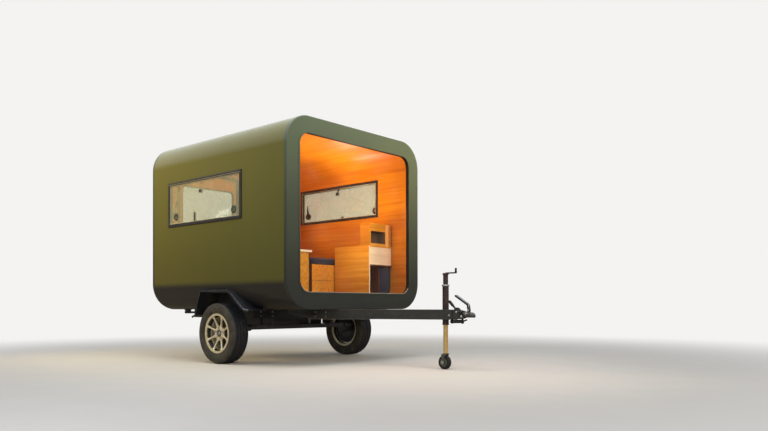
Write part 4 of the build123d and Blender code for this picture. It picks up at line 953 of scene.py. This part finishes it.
for side, side_name in SIDES:
    body, outward = "wheel_set_" + side_name, Vector((0, side, 0))
    hub = on_wheel(side, 0, 0, HUB_FLOOR)
    build("centre_cap_" + side_name, black_abs, "black_plastic",
          (add_turned, [(0, 9), (20.5, 9), (21.2, 10.4), (30, 9.8), (34.5, 7.8), (36.2, 5),
                        (36.2, 0)], hub, outward, 40), body=body)
    shape = bmesh.new()
    add_turned(shape, [(0, 12.4), (12, 12.2), (18, 11.2), (19.8, 9.2)], hub, outward)
    for i in range(5):
        place = on_wheel(side, 0.056, 72 * i, POCKET_FLOOR)
        add_turned(shape, [(0, 4.2), (8, 4.2), (10.8, 2.2), (10.8, 0)], place, outward, 20)
        add_bolt(shape, place + outward * 0.004, outward, 15.5, 8.5)
    for i in range(4):
        place = on_wheel(side, 0.1775, 118 + 5.5 * i, WHEEL_Y + 0.068)
        add_block(shape, place - Vector((0.006, 0.010, 0.002)), place + Vector((0.006, 0.003, 0.002)),
                  0.8)
    make("wheel_bolts_" + side_name, shape, bright_zinc, body)
    root, tip = (on_wheel(side, radius, 180 - 22.5, WHEEL_Y + across)
                 for radius, across in ((0.174, 0.040), (0.160, 0.066)))
    build("tyre_valve_" + side_name, epdm_rubber, "tyre_rubber",
          (add_rod, root, tip, 5.8, 16, 4.2),
          (add_rod, tip, tip + (tip - root).normalized() * 0.010, 4.5, 12), body=body)

# %% [markdown]
# ## Side windows
#
# Each side window is a framed acrylic pane hinged along its head. From outside we see a rubber seal
# round the flange, a bright strip in the hinge rail, and a pale glazing bead where the pane meets the
# frame. The bead and the strip are soft PVC, pale and a little glossy, and they draw the light lines
# round the dark frames.

# %% Window seals
# Side, rear end, front end, sill and head of each window
side_windows = [(-1, -1.5465, -0.2215, 1.489, 1.980), (1, -1.4985, -0.1335, 1.680, 2.120)]


def on_side(side, low, high):
    """Two corners given for the left side, as low and high corners on the asked side."""
    near, far = sorted((side * low[1], side * high[1]))
    return (low[0], near, low[2]), (high[0], far, high[2])


def window_band(window, edge, near, far):
    """Corners of a band that lies inside a window's outline by an edge, between two distances."""
    side, rear, front, sill, head = window
    return on_side(side, (rear + edge, near, sill + edge), (front - edge, far, head - edge))


pale_pvc = finish("pale_pvc_bead", moulded, "#A9A68C", "#BDB99F", 0.45, 1.5, 0.2)
seals, beads = bmesh.new(), bmesh.new()
for window in side_windows:
    side, rear, front, sill, head = window
    add_ring(seals, *window_band(window, -0.005, 1.0, 1.0035), 12, 10, 1.2)
    add_ring(beads, *window_band(window, 0.030, 1.0002, 1.0032), 7.5)
    add_ring(beads, *window_band(window, 0.030, 0.9925, 0.9958), 7.5)
    add_block(beads, *on_side(side, (rear + 0.004, 1.0086, head - 0.0215),
                              (front - 0.004, 1.0112, head - 0.0165)), 0.6)
    add_ring(beads, *window_band(window, 0.0262, 0.9610, 0.9638), 4.5)
make("window_seals", seals, epdm_rubber)
make("window_beads", beads, pale_pvc)

# %% [markdown]
# Inside there are two telescopic stays, each with a large knurled clamping knob on the pane, and one
# turning catch at the head and one at the sill. A knob has a zinc core, and a black cap outside holds
# each fitting through the pane. They replace the CAD blocks that stood for them: knobs are spun, arms
# are bevelled bars that taper in four steps. Small screws hold the inner clamp ring.

# %% Window stays and catches
PANE, STAY, CATCH = 1.0002, 0.980, 0.985  # distances from the trailer's middle
TAPER_STEPS, KNURLS = 4, 18
# Per side: knobs, arms (foot, top, widths there in mm), head catch, sill catch and its foot's reach
window_fittings = {
    -1: ([(-1.396, 1.598), (-0.352, 1.590)],
         [((-1.497, 1.605), (-1.352, 1.862), 36, 22), ((-0.264, 1.600), (-0.250, 1.880), 20, 16)],
         (-0.942, 1.843), (-1.046, 1.624, 0.052)),
    1: ([(-1.378, 1.787), (-0.186, 1.761)],
        [((-1.379, 1.800), (-1.386, 1.925), 44, 6), ((-0.176, 1.790), (-0.168, 2.030), 20, 16)],
        (-0.836, 2.030), (-0.748, 1.737, 0.020)),
}
shape, metal = bmesh.new(), bmesh.new()
for side, rear, front, sill, head in side_windows:
    knobs, arms, (catch_x, catch_z), (hook_x, hook_z, reach) = window_fittings[side]
    inward = Vector((0, -side, 0))
    for x, z in knobs:
        knob = Vector((x, side * 0.9955, z))
        add_turned(shape, [(17, 19.5), (21, 23.5), (36, 22.5), (38.5, 19), (38.5, 6), (35, 1), (19, 1),
                           (17, 3), (17, 19.5)], knob, inward)
        add_rod(metal, knob + inward * 0.0022, knob + inward * 0.0205, 16.8, 24)
        for i in range(KNURLS):
            turn = 2 * pi * i / KNURLS
            edge = knob + Vector((cos(turn), 0, sin(turn))) * 0.038
            add_rod(shape, edge + inward * 0.0065, edge + inward * 0.0185, 2.6, 8)
        add_turned(shape, [(22, 0), (22, 2.2), (25, 3.2), (35, 3.2), (39, 1.8), (39.5, 0), (22, 0)],
                   (x, side * PANE, z), -inward, 28)
        add_rod(shape, (x, side * PANE, z), (x, side * 1.0026, z), 9, 16)
    for (x, z), (top_x, top_z), low_width, high_width in arms:
        foot, top = Vector((x, side * STAY, z)), Vector((top_x, side * STAY, top_z))
        for i in range(TAPER_STEPS):
            width = low_width + (high_width - low_width) * (i + 0.5) / TAPER_STEPS
            add_bar(shape, foot.lerp(top, i / TAPER_STEPS), foot.lerp(top, (i + 1) / TAPER_STEPS),
                    width, 5, inward, 1)
        add_rod(shape, top - inward * 0.005, top + inward * 0.006, high_width * 0.6, 16)
        add_rod(shape, foot - inward * 0.006, foot + inward * 0.006, low_width * 0.55, 16)
    add_turned(shape, [(0, 3), (12, 3), (20, 1.2), (20.5, 0)], (catch_x, side * PANE, catch_z),
               -inward, 20)
    add_block(shape, *on_side(side, (hook_x - 0.008, PANE, sill + 0.034),
                              (hook_x + 0.008, 1.0030, hook_z)), 1)
    high, low = head - 0.030, sill + 0.030
    hub, bend = (Vector((x, side * CATCH, z)) for x, z in (
        (catch_x, catch_z), (catch_x + 0.016, (catch_z + high) / 2)))
    add_bar(shape, hub, bend, 12, 8, inward, 2)
    add_bar(shape, bend - Vector((0, 0, 0.004)), (catch_x + 0.014, side * CATCH, high), 14, 8, inward,
            2)
    add_turned(shape, [(0, 16), (12, 16), (20, 12), (22, 4), (20, 0), (0, 0)], hub, inward, 20)
    add_bar(shape, (hook_x, side * CATCH, low), (hook_x, side * CATCH, hook_z), 20, 10, inward, 2)
    add_block(shape, *on_side(side, (hook_x - 0.008, 0.975, low - 0.001),
                              (hook_x + reach, 0.993, low + 0.010)), 2)
make("window_knob_cores", metal, bright_zinc)
fittings = make("window_stays_and_catches", shape, black_abs, angle=40)
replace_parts(fittings, "side_window_catches")

# %% Screws in the inner clamp rings
SCREWS = 7
build("window_screws", bright_zinc, "plated_steel",
      *[(add_turned, [(0, 2.2), (2.5, 2), (4.2, 0)],
         (rear + 0.040 + (front - rear - 0.080) * i / (SCREWS - 1), side * 0.9641, z),
         (0, -side, 0), 12)
        for side, rear, front, sill, head in side_windows for i in range(SCREWS)
        for z in (sill + 0.009, head - 0.009)])

# %% [markdown]
# ## Sill of the front window
#
# Along the bottom of the front opening and up into its lower corners, the gasket carries a pale bead.
# Its pale grey paints the highlight along the edge of the sill. It is the lower part of a rounded
# ring: we make the whole ring and cut it off with a plane.

# %% Drip bead
shape = bmesh.new()
add_ring(shape, (FRONT - 0.004, -0.829, 0.736), (FRONT + 0.004, 0.829, 2.289), 5, 119, steps=12)
bmesh.ops.bisect_plane(shape, geom=shape.verts[:] + shape.edges[:] + shape.faces[:],
                       plane_co=(0, 0, 0.800), plane_no=(0, 0, 1), clear_outer=True)
bmesh.ops.holes_fill(shape, edges=[e for e in shape.edges if e.is_boundary])
# The bead's pale grey is a painted highlight.
sill_highlight_bead = finish("pale_bead_painted_highlight", moulded, "#8F8B80", "#A5A195", 0.4, 1.5, 0.2)
make("front_sill_highlight_bead", shape, sill_highlight_bead)

# %% [markdown]
# ## Furniture trim
#
# The furniture is simple boards, and its charm is in the edges. The cabinet's side board shows a pale
# birch edge band, and the small box on it has an okoume stile and a lining of brown felt: a block
# without its mouth, given a thickness. The felt's fibres are drawn at 3 mm so that they show. Black
# strips paint the shade in the open joint of the bench front, at the counter's corner and in a corner
# of the cabinet's niche.

# %% Edge bands and felt
box_low, box_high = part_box("wall_box")
front_x = cabinet_high.x
build("birch_edge_band", birch_laminate, "pale_board",
      (add_block, (front_x, *cabinet_low.yz), (front_x + 0.0012, cabinet_low.y + 0.015, cabinet_high.z)))
pale_okoume = finish("pale_okoume_edge", veneer, 2, "#E0A25A", "#EAB26C", "#F2C07E")
build("box_stile", pale_okoume, "plywood",
      (add_block, (front_x, 0.848, box_low.z), (front_x + 0.0012, 0.903, box_high.z - 0.003)))


def wool_felt(tree):
    """Matted fibres, paler where they stand up."""
    place = add(tree, "TexCoord", out="Object")
    fibres = add(tree, "TexNoise", {"Vector": place, "Scale": 300, "Detail": 4})
    tone = add(tree, "Mix", {0: fibres, 6: "#5A3E26", 7: "#7A5A3C"}, 2, data_type="RGBA")
    relief = add(tree, "Bump", {"Height": fibres, "Strength": 0.5, "Distance": 0.001})
    return add(tree, "BsdfPrincipled", {"Base Color": tone, "Roughness": 0.95, "Normal": relief,
                                        "Specular IOR Level": 0.1})


shape = bmesh.new()
add_block(shape, (-0.0372, 0.5895, 1.3265), (0.0960, 0.8425, 1.4655))
mouth = max(shape.faces, key=lambda face: face.calc_center_median().x)
bmesh.ops.delete(shape, geom=[mouth], context="FACES_ONLY")
bmesh.ops.recalc_face_normals(shape, faces=shape.faces)
bmesh.ops.solidify(shape, geom=shape.faces[:], thickness=0.0012)
make("box_lining", shape, finish("brown_wool_felt", wool_felt))

# %% Dark joints
bench_low, bench_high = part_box("bench")
counter_low, counter_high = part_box("counter")
joint = bench_low.z + 0.250
joint_low, joint_high = joint - 0.0005, joint + 0.0045
# Black strips that paint the shade in the joints and in the niche's corner.
build("painted_joint_shade", black_abs, "black_plastic",
      (add_block, (bench_high.x - 0.0031, bench_low.y + 0.001, joint_low),
       (bench_high.x - 0.0005, bench_high.y - 0.002, joint_high)),
      (add_block, (bench_low.x + 0.002, bench_low.y + 0.0005, joint_low),
       (bench_high.x - 0.001, bench_low.y + 0.0031, joint_high)),
      (add_block, (counter_high.x, counter_high.y - 0.0055, counter_low.z),
       (counter_high.x + 0.003, counter_high.y + 0.0015, counter_high.z - 0.002), 0.8),
      (add_block, (0.05, 0.95, cabinet_low.z + 0.001), (0.07, cabinet_high.y - 0.002, fascia_z)))

# %% [markdown]
# The canvas cover of the cushion is closed with a piped seam: a thin cord in a strip of the same
# cloth, sewn in where the top meets the sides. It is a ring of rods with a ball at each corner. The
# piping's paler navy is a painted highlight along the cushion's edge.

# %% Cushion piping
PIPING = 4.2
corners = [(cushion_low.x + 0.024, cushion_low.y + 0.020), (cushion_high.x - 0.018, cushion_low.y + 0.020),
           (cushion_high.x - 0.018, cushion_high.y - 0.024), (cushion_low.x + 0.024, cushion_high.y - 0.024)]
corners = [Vector((x, y, cushion_high.z - 0.006)) for x, y in corners]
shape = bmesh.new()
for start, end in zip(corners, corners[1:] + corners[:1]):
    add_rod(shape, start, end, PIPING, 10)
    bmesh.ops.create_uvsphere(shape, u_segments=10, v_segments=6, radius=PIPING / 1000,
                              matrix=Matrix.Translation(start))
# The paler navy of the piping is a painted highlight.
make("cushion_piping", shape, finish("piping_canvas_highlight", woven, "#34384C", "#5A6078"))

# %% [markdown]
# ## Wheels' inner side and mudguards
#
# Behind each brake sits a thin dished dust shield that keeps stones out of the barrel; its dark coat
# also paints the shade inside the wheel. It is one spun outline. The edge of a mudguard is rolled
# over a wire for stiffness. Along the slope in front of the wheel the wire is painted a pale bluish
# grey, a painted highlight, and it grows a little thicker from piece to piece.

# %% Dust shields and mudguard wires
# The shields' dark coat also paints the shade inside the wheel's barrel.
build("dust_shields", stone_guard, "black_steel",
      *[(add_turned, [(98, 0), (150, 2), (167.5, 4), (167.5, 12), (166, 12), (166, 5.5), (150, 3.5),
                      (98, 1.5), (98, 0)], (AXLE_X, side * 0.896, AXLE_Z), (0, side, 0), 48)
        for side in (1, -1)])
guard_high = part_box("mudguards")[1]
slope = [(-0.3385, 0.735), (-0.1745, 0.6), (-0.145, 0.58), (-0.1215, 0.57), (-0.066, 0.564)]
wire, bolts = bmesh.new(), bmesh.new()
for side in (1, -1):
    line = [Vector((x, side * (guard_high.y - 0.0045), z - 0.002)) for x, z in slope]
    for i, (near, far) in enumerate(zip(line, line[1:])):
        thin, thick = 2.6 + 0.8 * i, 3.4 + 0.8 * i
        add_rod(wire, near, far, thin, 12, thick)
        bmesh.ops.create_uvsphere(wire, u_segments=12, v_segments=8, radius=thick / 1000,
                                  matrix=Matrix.Translation(far))
    for x in (-0.83, -0.64, -0.44):
        add_bolt(bolts, (x, side * 1.0225, guard_high.z - 0.0045), (0, 0, 1), 13, 4.5, 11)
# The wire's pale bluish grey is a painted highlight.
wire_highlight_paint = finish("painted_highlight_grey", powder_coat, "#6C7084", "#8C8FA2", 0.3)
make("mudguard_wires_with_highlight", wire, wire_highlight_paint)
make("mudguard_bolts", bolts, bright_zinc)

# %% [markdown]
# ## Coupling, levers and jack
#
# The working end of a trailer is full of small steel: clevis pins with washers, bolts that hold the
# overrun housing in the rails, the spring cylinder of the handbrake under them, a bright worn edge on
# the coupling handle, rubber grips, zinc rings that clamp the jack's upper tube, and the cap with the
# crank's bearing.

# %% Bright fittings of the coupling
JACK_X = 1.5845
RIGHT, LEFT, UP = (0, -1, 0), (0, 1, 0), (0, 0, 1)
shape = bmesh.new()
for place, axis, across, height, washer in (
        ((1.7920, -0.0395, 0.4990), RIGHT, 19, 11, 14), ((1.8407, -0.0330, 0.5236), RIGHT, 17, 10, 12),
        ((1.8485, -0.0120, 0.5560), RIGHT, 14, 8, 10), ((1.7475, -0.0560, 0.5400), RIGHT, 17, 9, 12),
        ((1.6600, 0.0385, 0.5100), LEFT, 17, 9, 12), ((1.7200, 0.0385, 0.5100), LEFT, 17, 9, 12),
        ((1.6600, -0.0490, 0.5100), RIGHT, 17, 9, 12), ((1.6720, 0.0, 0.5840), UP, 13, 6, 0)):
    add_bolt(shape, place, axis, across, height, washer)
    end = Vector(place) + Vector(axis) * (height / 1000 + 0.006)
    add_rod(shape, place, end, across * 0.27, 12)
handle = [Vector((1.8485, 0, 0.556)), Vector((1.8385, 0, 0.61)), Vector((1.7045, 0, 0.693))]
for y in (-0.0115, 0.0115):
    for near, far in zip(handle, handle[1:]):
        out = (far - near).normalized().cross(Vector((0, 1, 0)))
        out = out if out.x > 0 else -out
        lift = Vector((0, y, 0)) + out * 0.0115
        add_bar(shape, near + lift, far + lift, 4.5, 3, out, 0.8)
for z in (0.7905, 0.7985):
    add_turned(shape, [(29.5, 0), (35.5, 0), (36.2, 1), (36.2, 5), (35.5, 6), (29.5, 6), (29.5, 0)],
               (JACK_X, 0, z - 0.004), UP, 40)
make("coupling_fittings", shape, bright_zinc)

# %% [markdown]
# The jockey wheel turns on a bolt with a washer, a nut and a stub of thread on each side. Its hub is a
# pair of grey nylon discs.

# %% Jockey wheel fittings
jockey_x, jockey_z = 1.5745, 0.066
build("jockey_axle_nuts", bright_zinc, "plated_steel",
      *[(add_rod, (jockey_x, side * near, jockey_z), (jockey_x, side * far, jockey_z), radius, segments)
        for side in (1, -1) for near, far, radius, segments in (
            (0.0400, 0.0415, 17.5, 24), (0.0415, 0.0490, 13, 6), (0.0490, 0.0530, 6.5, 12))],
      body="fork")
grey_nylon = finish("grey_green_nylon", moulded, "#4B4E41", "#64675A", 0.34, 1.5, 0.2)
build("jockey_discs", grey_nylon, "black_plastic",
      *[(add_turned, [(12, 0), (40, 0), (41.5, 1.5), (30, 3), (12, 3), (12, 0)],
         (jockey_x, y, jockey_z), (0, y, 0)) for y in (-0.0228, 0.0228)], body="jockey")

# %% Dark fittings of the coupling and jack
shape = bmesh.new()
add_rod(shape, (1.656, -0.012, 0.452), (1.79, -0.012, 0.456), 16.5, 24)
add_rod(shape, (1.79, -0.012, 0.456), (1.835, -0.012, 0.47), 7, 12)
for x in (1.664, 1.782):
    add_rod(shape, (x, -0.012, 0.4522), (x + 0.008, -0.012, 0.4524), 19.5, 24)
    add_block(shape, (x - 0.004, -0.02, 0.456), (x + 0.012, -0.004, 0.479), 2)
add_rod(shape, (1.7025, 0, 0.915), (1.7025, 0, 0.9545), 10.5, 20, 9)
add_rod(shape, (1.7025, 0, 0.912), (1.7025, 0, 0.916), 12.5)
root, tip = Vector((1.7035, -0.052, 0.602)), Vector((1.6685, -0.052, 0.64))
add_rod(shape, root, tip, 12.5, 16, 11)
for i in range(5):
    at = root.lerp(tip, 0.15 + 0.17 * i)
    add_rod(shape, at, at + (tip - root).normalized() * 0.004, 13.8, 16)
make("rubber_grips_and_spring_cylinder", shape, epdm_rubber)
build("jack_cap_and_rings", jack_powder, "black_steel",
      (add_turned, [(0, 8), (10, 8), (14, 6), (27, 5.5), (30, 3), (30, -8), (24.5, -8)],
       (JACK_X, 0, 0.903), UP, 36),
      (add_bar, (1.585, 0, 0.911), (1.696, 0, 0.911), 20, 10, UP, 2),
      *[(add_turned, [(30, 0), (32.5, 0), (33, 1), (33, 6), (32.5, 7), (30, 7), (30, 0)],
         (JACK_X, 0, z), UP, 36) for z in (0.4225, 0.494)])

# %% [markdown]
# ## Under the floor
#
# Under the floor run the brake rod and, across its end, the equalising bar that shares its pull
# between the two brakes. Bolts with washers hold the axle's hangers and the outriggers. Two steel
# straps carry the water tank, a plug closes its drain, and each corner steady has a spindle.

# %% Brake gear
def rail_side(x):
    """Outer side of the left rail at a place along the trailer. Ahead of the knee the rails close
    in on the coupling."""
    knee = AXLE_X - 0.054
    return 0.505 if x <= knee else 0.505 - 0.459 * (x - knee) / (1.6885 - knee)


build("brake_rod", bright_zinc, "plated_steel",
      (add_rod, (1.64, 0, 0.488), (0.36, 0, 0.463), 4.8, 12),
      (add_rod, (0.36, 0, 0.463), (-0.25, 0, 0.46), 4.8, 12),
      (add_bar, (-0.252, -0.06, 0.46), (-0.252, 0.06, 0.46), 24, 5, UP, 1),
      *[(add_rod, (-0.262, y, 0.46), (-0.242, y, 0.46), 7.5, 6) for y in (0.05, -0.05)])
build("rail_bolts", bright_zinc, "plated_steel",
      *[(add_bolt, (x, side * (rail_side(x) - 0.0008), z), (0, side, 0), 17, 9, 12)
        for side in (1, -1) for x in (-0.545, -0.39, 0.15, 0.175, -0.995, -1.02, 0.29, -1.7)
        for z in (0.495, 0.54)])

# %% Tank straps and corner steadies
tank_low, tank_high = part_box("water_tank")
STRAP, HALF_WIDTH = 0.002, 0.015
shape = bmesh.new()
for y in (-0.360, 0.240):
    low_y, high_y, under = y - HALF_WIDTH, y + HALF_WIDTH, tank_low.z - STRAP
    add_block(shape, (tank_low.x - STRAP, low_y, under), (tank_high.x + STRAP, high_y, tank_low.z), 0.6)
    for x in (tank_low.x - STRAP, tank_high.x):
        add_block(shape, (x, low_y, under), (x + STRAP, high_y, tank_high.z - 0.010), 0.6)
for y in (0.668, -0.668):
    add_rod(shape, (-1.715, y, 0.531), (-1.67, y, 0.531), 7, 12)
    add_rod(shape, (-1.725, y, 0.531), (-1.712, y, 0.531), 11, 6)
make("tank_straps_and_spindles", shape, bright_zinc)
build("tank_drain_plug", black_abs, "black_plastic",
      (add_turned, [(0, -12), (11, -12), (13, -10), (13, -4), (19, -3), (19, 0), (11, 0)],
       (-0.8465, -0.387, tank_low.z), UP, 24))

# %% [markdown]
# ## Rear end
#
# The law asks a trailer for two red triangles, a lit number plate and lamps. The plate is blank here.
# The door has a lock, a seal in its frame and screwed hinges. Triangles are cones with three sides.

# %% Plate, door seal and triangles
build("plate_holder_and_door_seal", epdm_rubber, "black_rubber",
      (add_block, (BACK - 0.004, -0.266, 0.586), (BACK, 0.266, 0.702), 1.5),
      *[(add_block, (BACK - 0.03, y - 0.03, 0.702), (BACK, y + 0.03, 0.718), 4) for y in (-0.17, 0.17)],
      (add_ring, (-1.8815, -0.6885, 0.7345), (-1.879, 0.1935, 2.2315), 9.5, 20))
plate_film = finish("white_plate_film", moulded, "#D9D8D0", "#E6E5DE", 0.3, 1.5, 0.1)
build("blank_plate", plate_film, "pale_board",
      (add_block, (BACK - 0.0055, -0.26, 0.589), (BACK - 0.0035, 0.26, 0.699), 0.6))
red_prisms = finish("red_prism_reflector", moulded, "#8E1512", "#B32A22", 0.18, 4, 0.8, 0.6)
for name, radius, depth in (("red_triangles", 0.070, 0.007), ("triangle_frames", 0.084, 0.005)):
    shape = bmesh.new()
    for y in (-0.7, 0.7):
        turn = Matrix.Translation((BACK - depth / 2, y, 0.636)) @ Matrix.Rotation(radians(-90), 4, "Y")
        bmesh.ops.create_cone(shape, cap_ends=True, segments=3, radius1=radius, radius2=radius * 0.97,
                              depth=depth, matrix=turn)
    make(name, shape, red_prisms)

# %% Rear screws and lock
REARWARD = (-1, 0, 0)
HINGE_X, HINGE_Z = -1.8835, (0.93, 1.48, 2.04)
small_head, wide_head = [(0, 2.2), (3, 1.8), (4.5, 0)], [(0, 2.2), (3.5, 1.8), (5.5, 0)]
lamp_head, plate_head = [(0, 2), (3, 1.8), (4.5, 0)], [(0, 2), (4, 1.6), (5.5, 0)]
build("rear_screws", bright_zinc, "plated_steel",
      *[(add_turned, lamp_head, (lamps_low.x, y, z), REARWARD, 14)
        for y in (-0.921, 0.921) for z in (0.7935, 1.0065)],
      *[(add_turned, wide_head, (HINGE_X, -0.738, z + rise), REARWARD, 14)
        for z in HINGE_Z for rise in (-0.028, 0.028)],
      *[(add_turned, plate_head, (BACK - 0.0055, y, 0.644), REARWARD, 14) for y in (-0.245, 0.245)])
build("door_lock_and_screws", bright_zinc, "plated_steel",
      *[(add_turned, small_head, (HINGE_X, y, z), REARWARD, 14)
        for z in HINGE_Z for y in (-0.672, -0.656)],
      (add_turned, [(0, 3), (9.5, 3), (11, 1.8), (11, 0)],
       (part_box("door_handle")[0].x, 0.102, 1.168), REARWARD, 24), body="door")
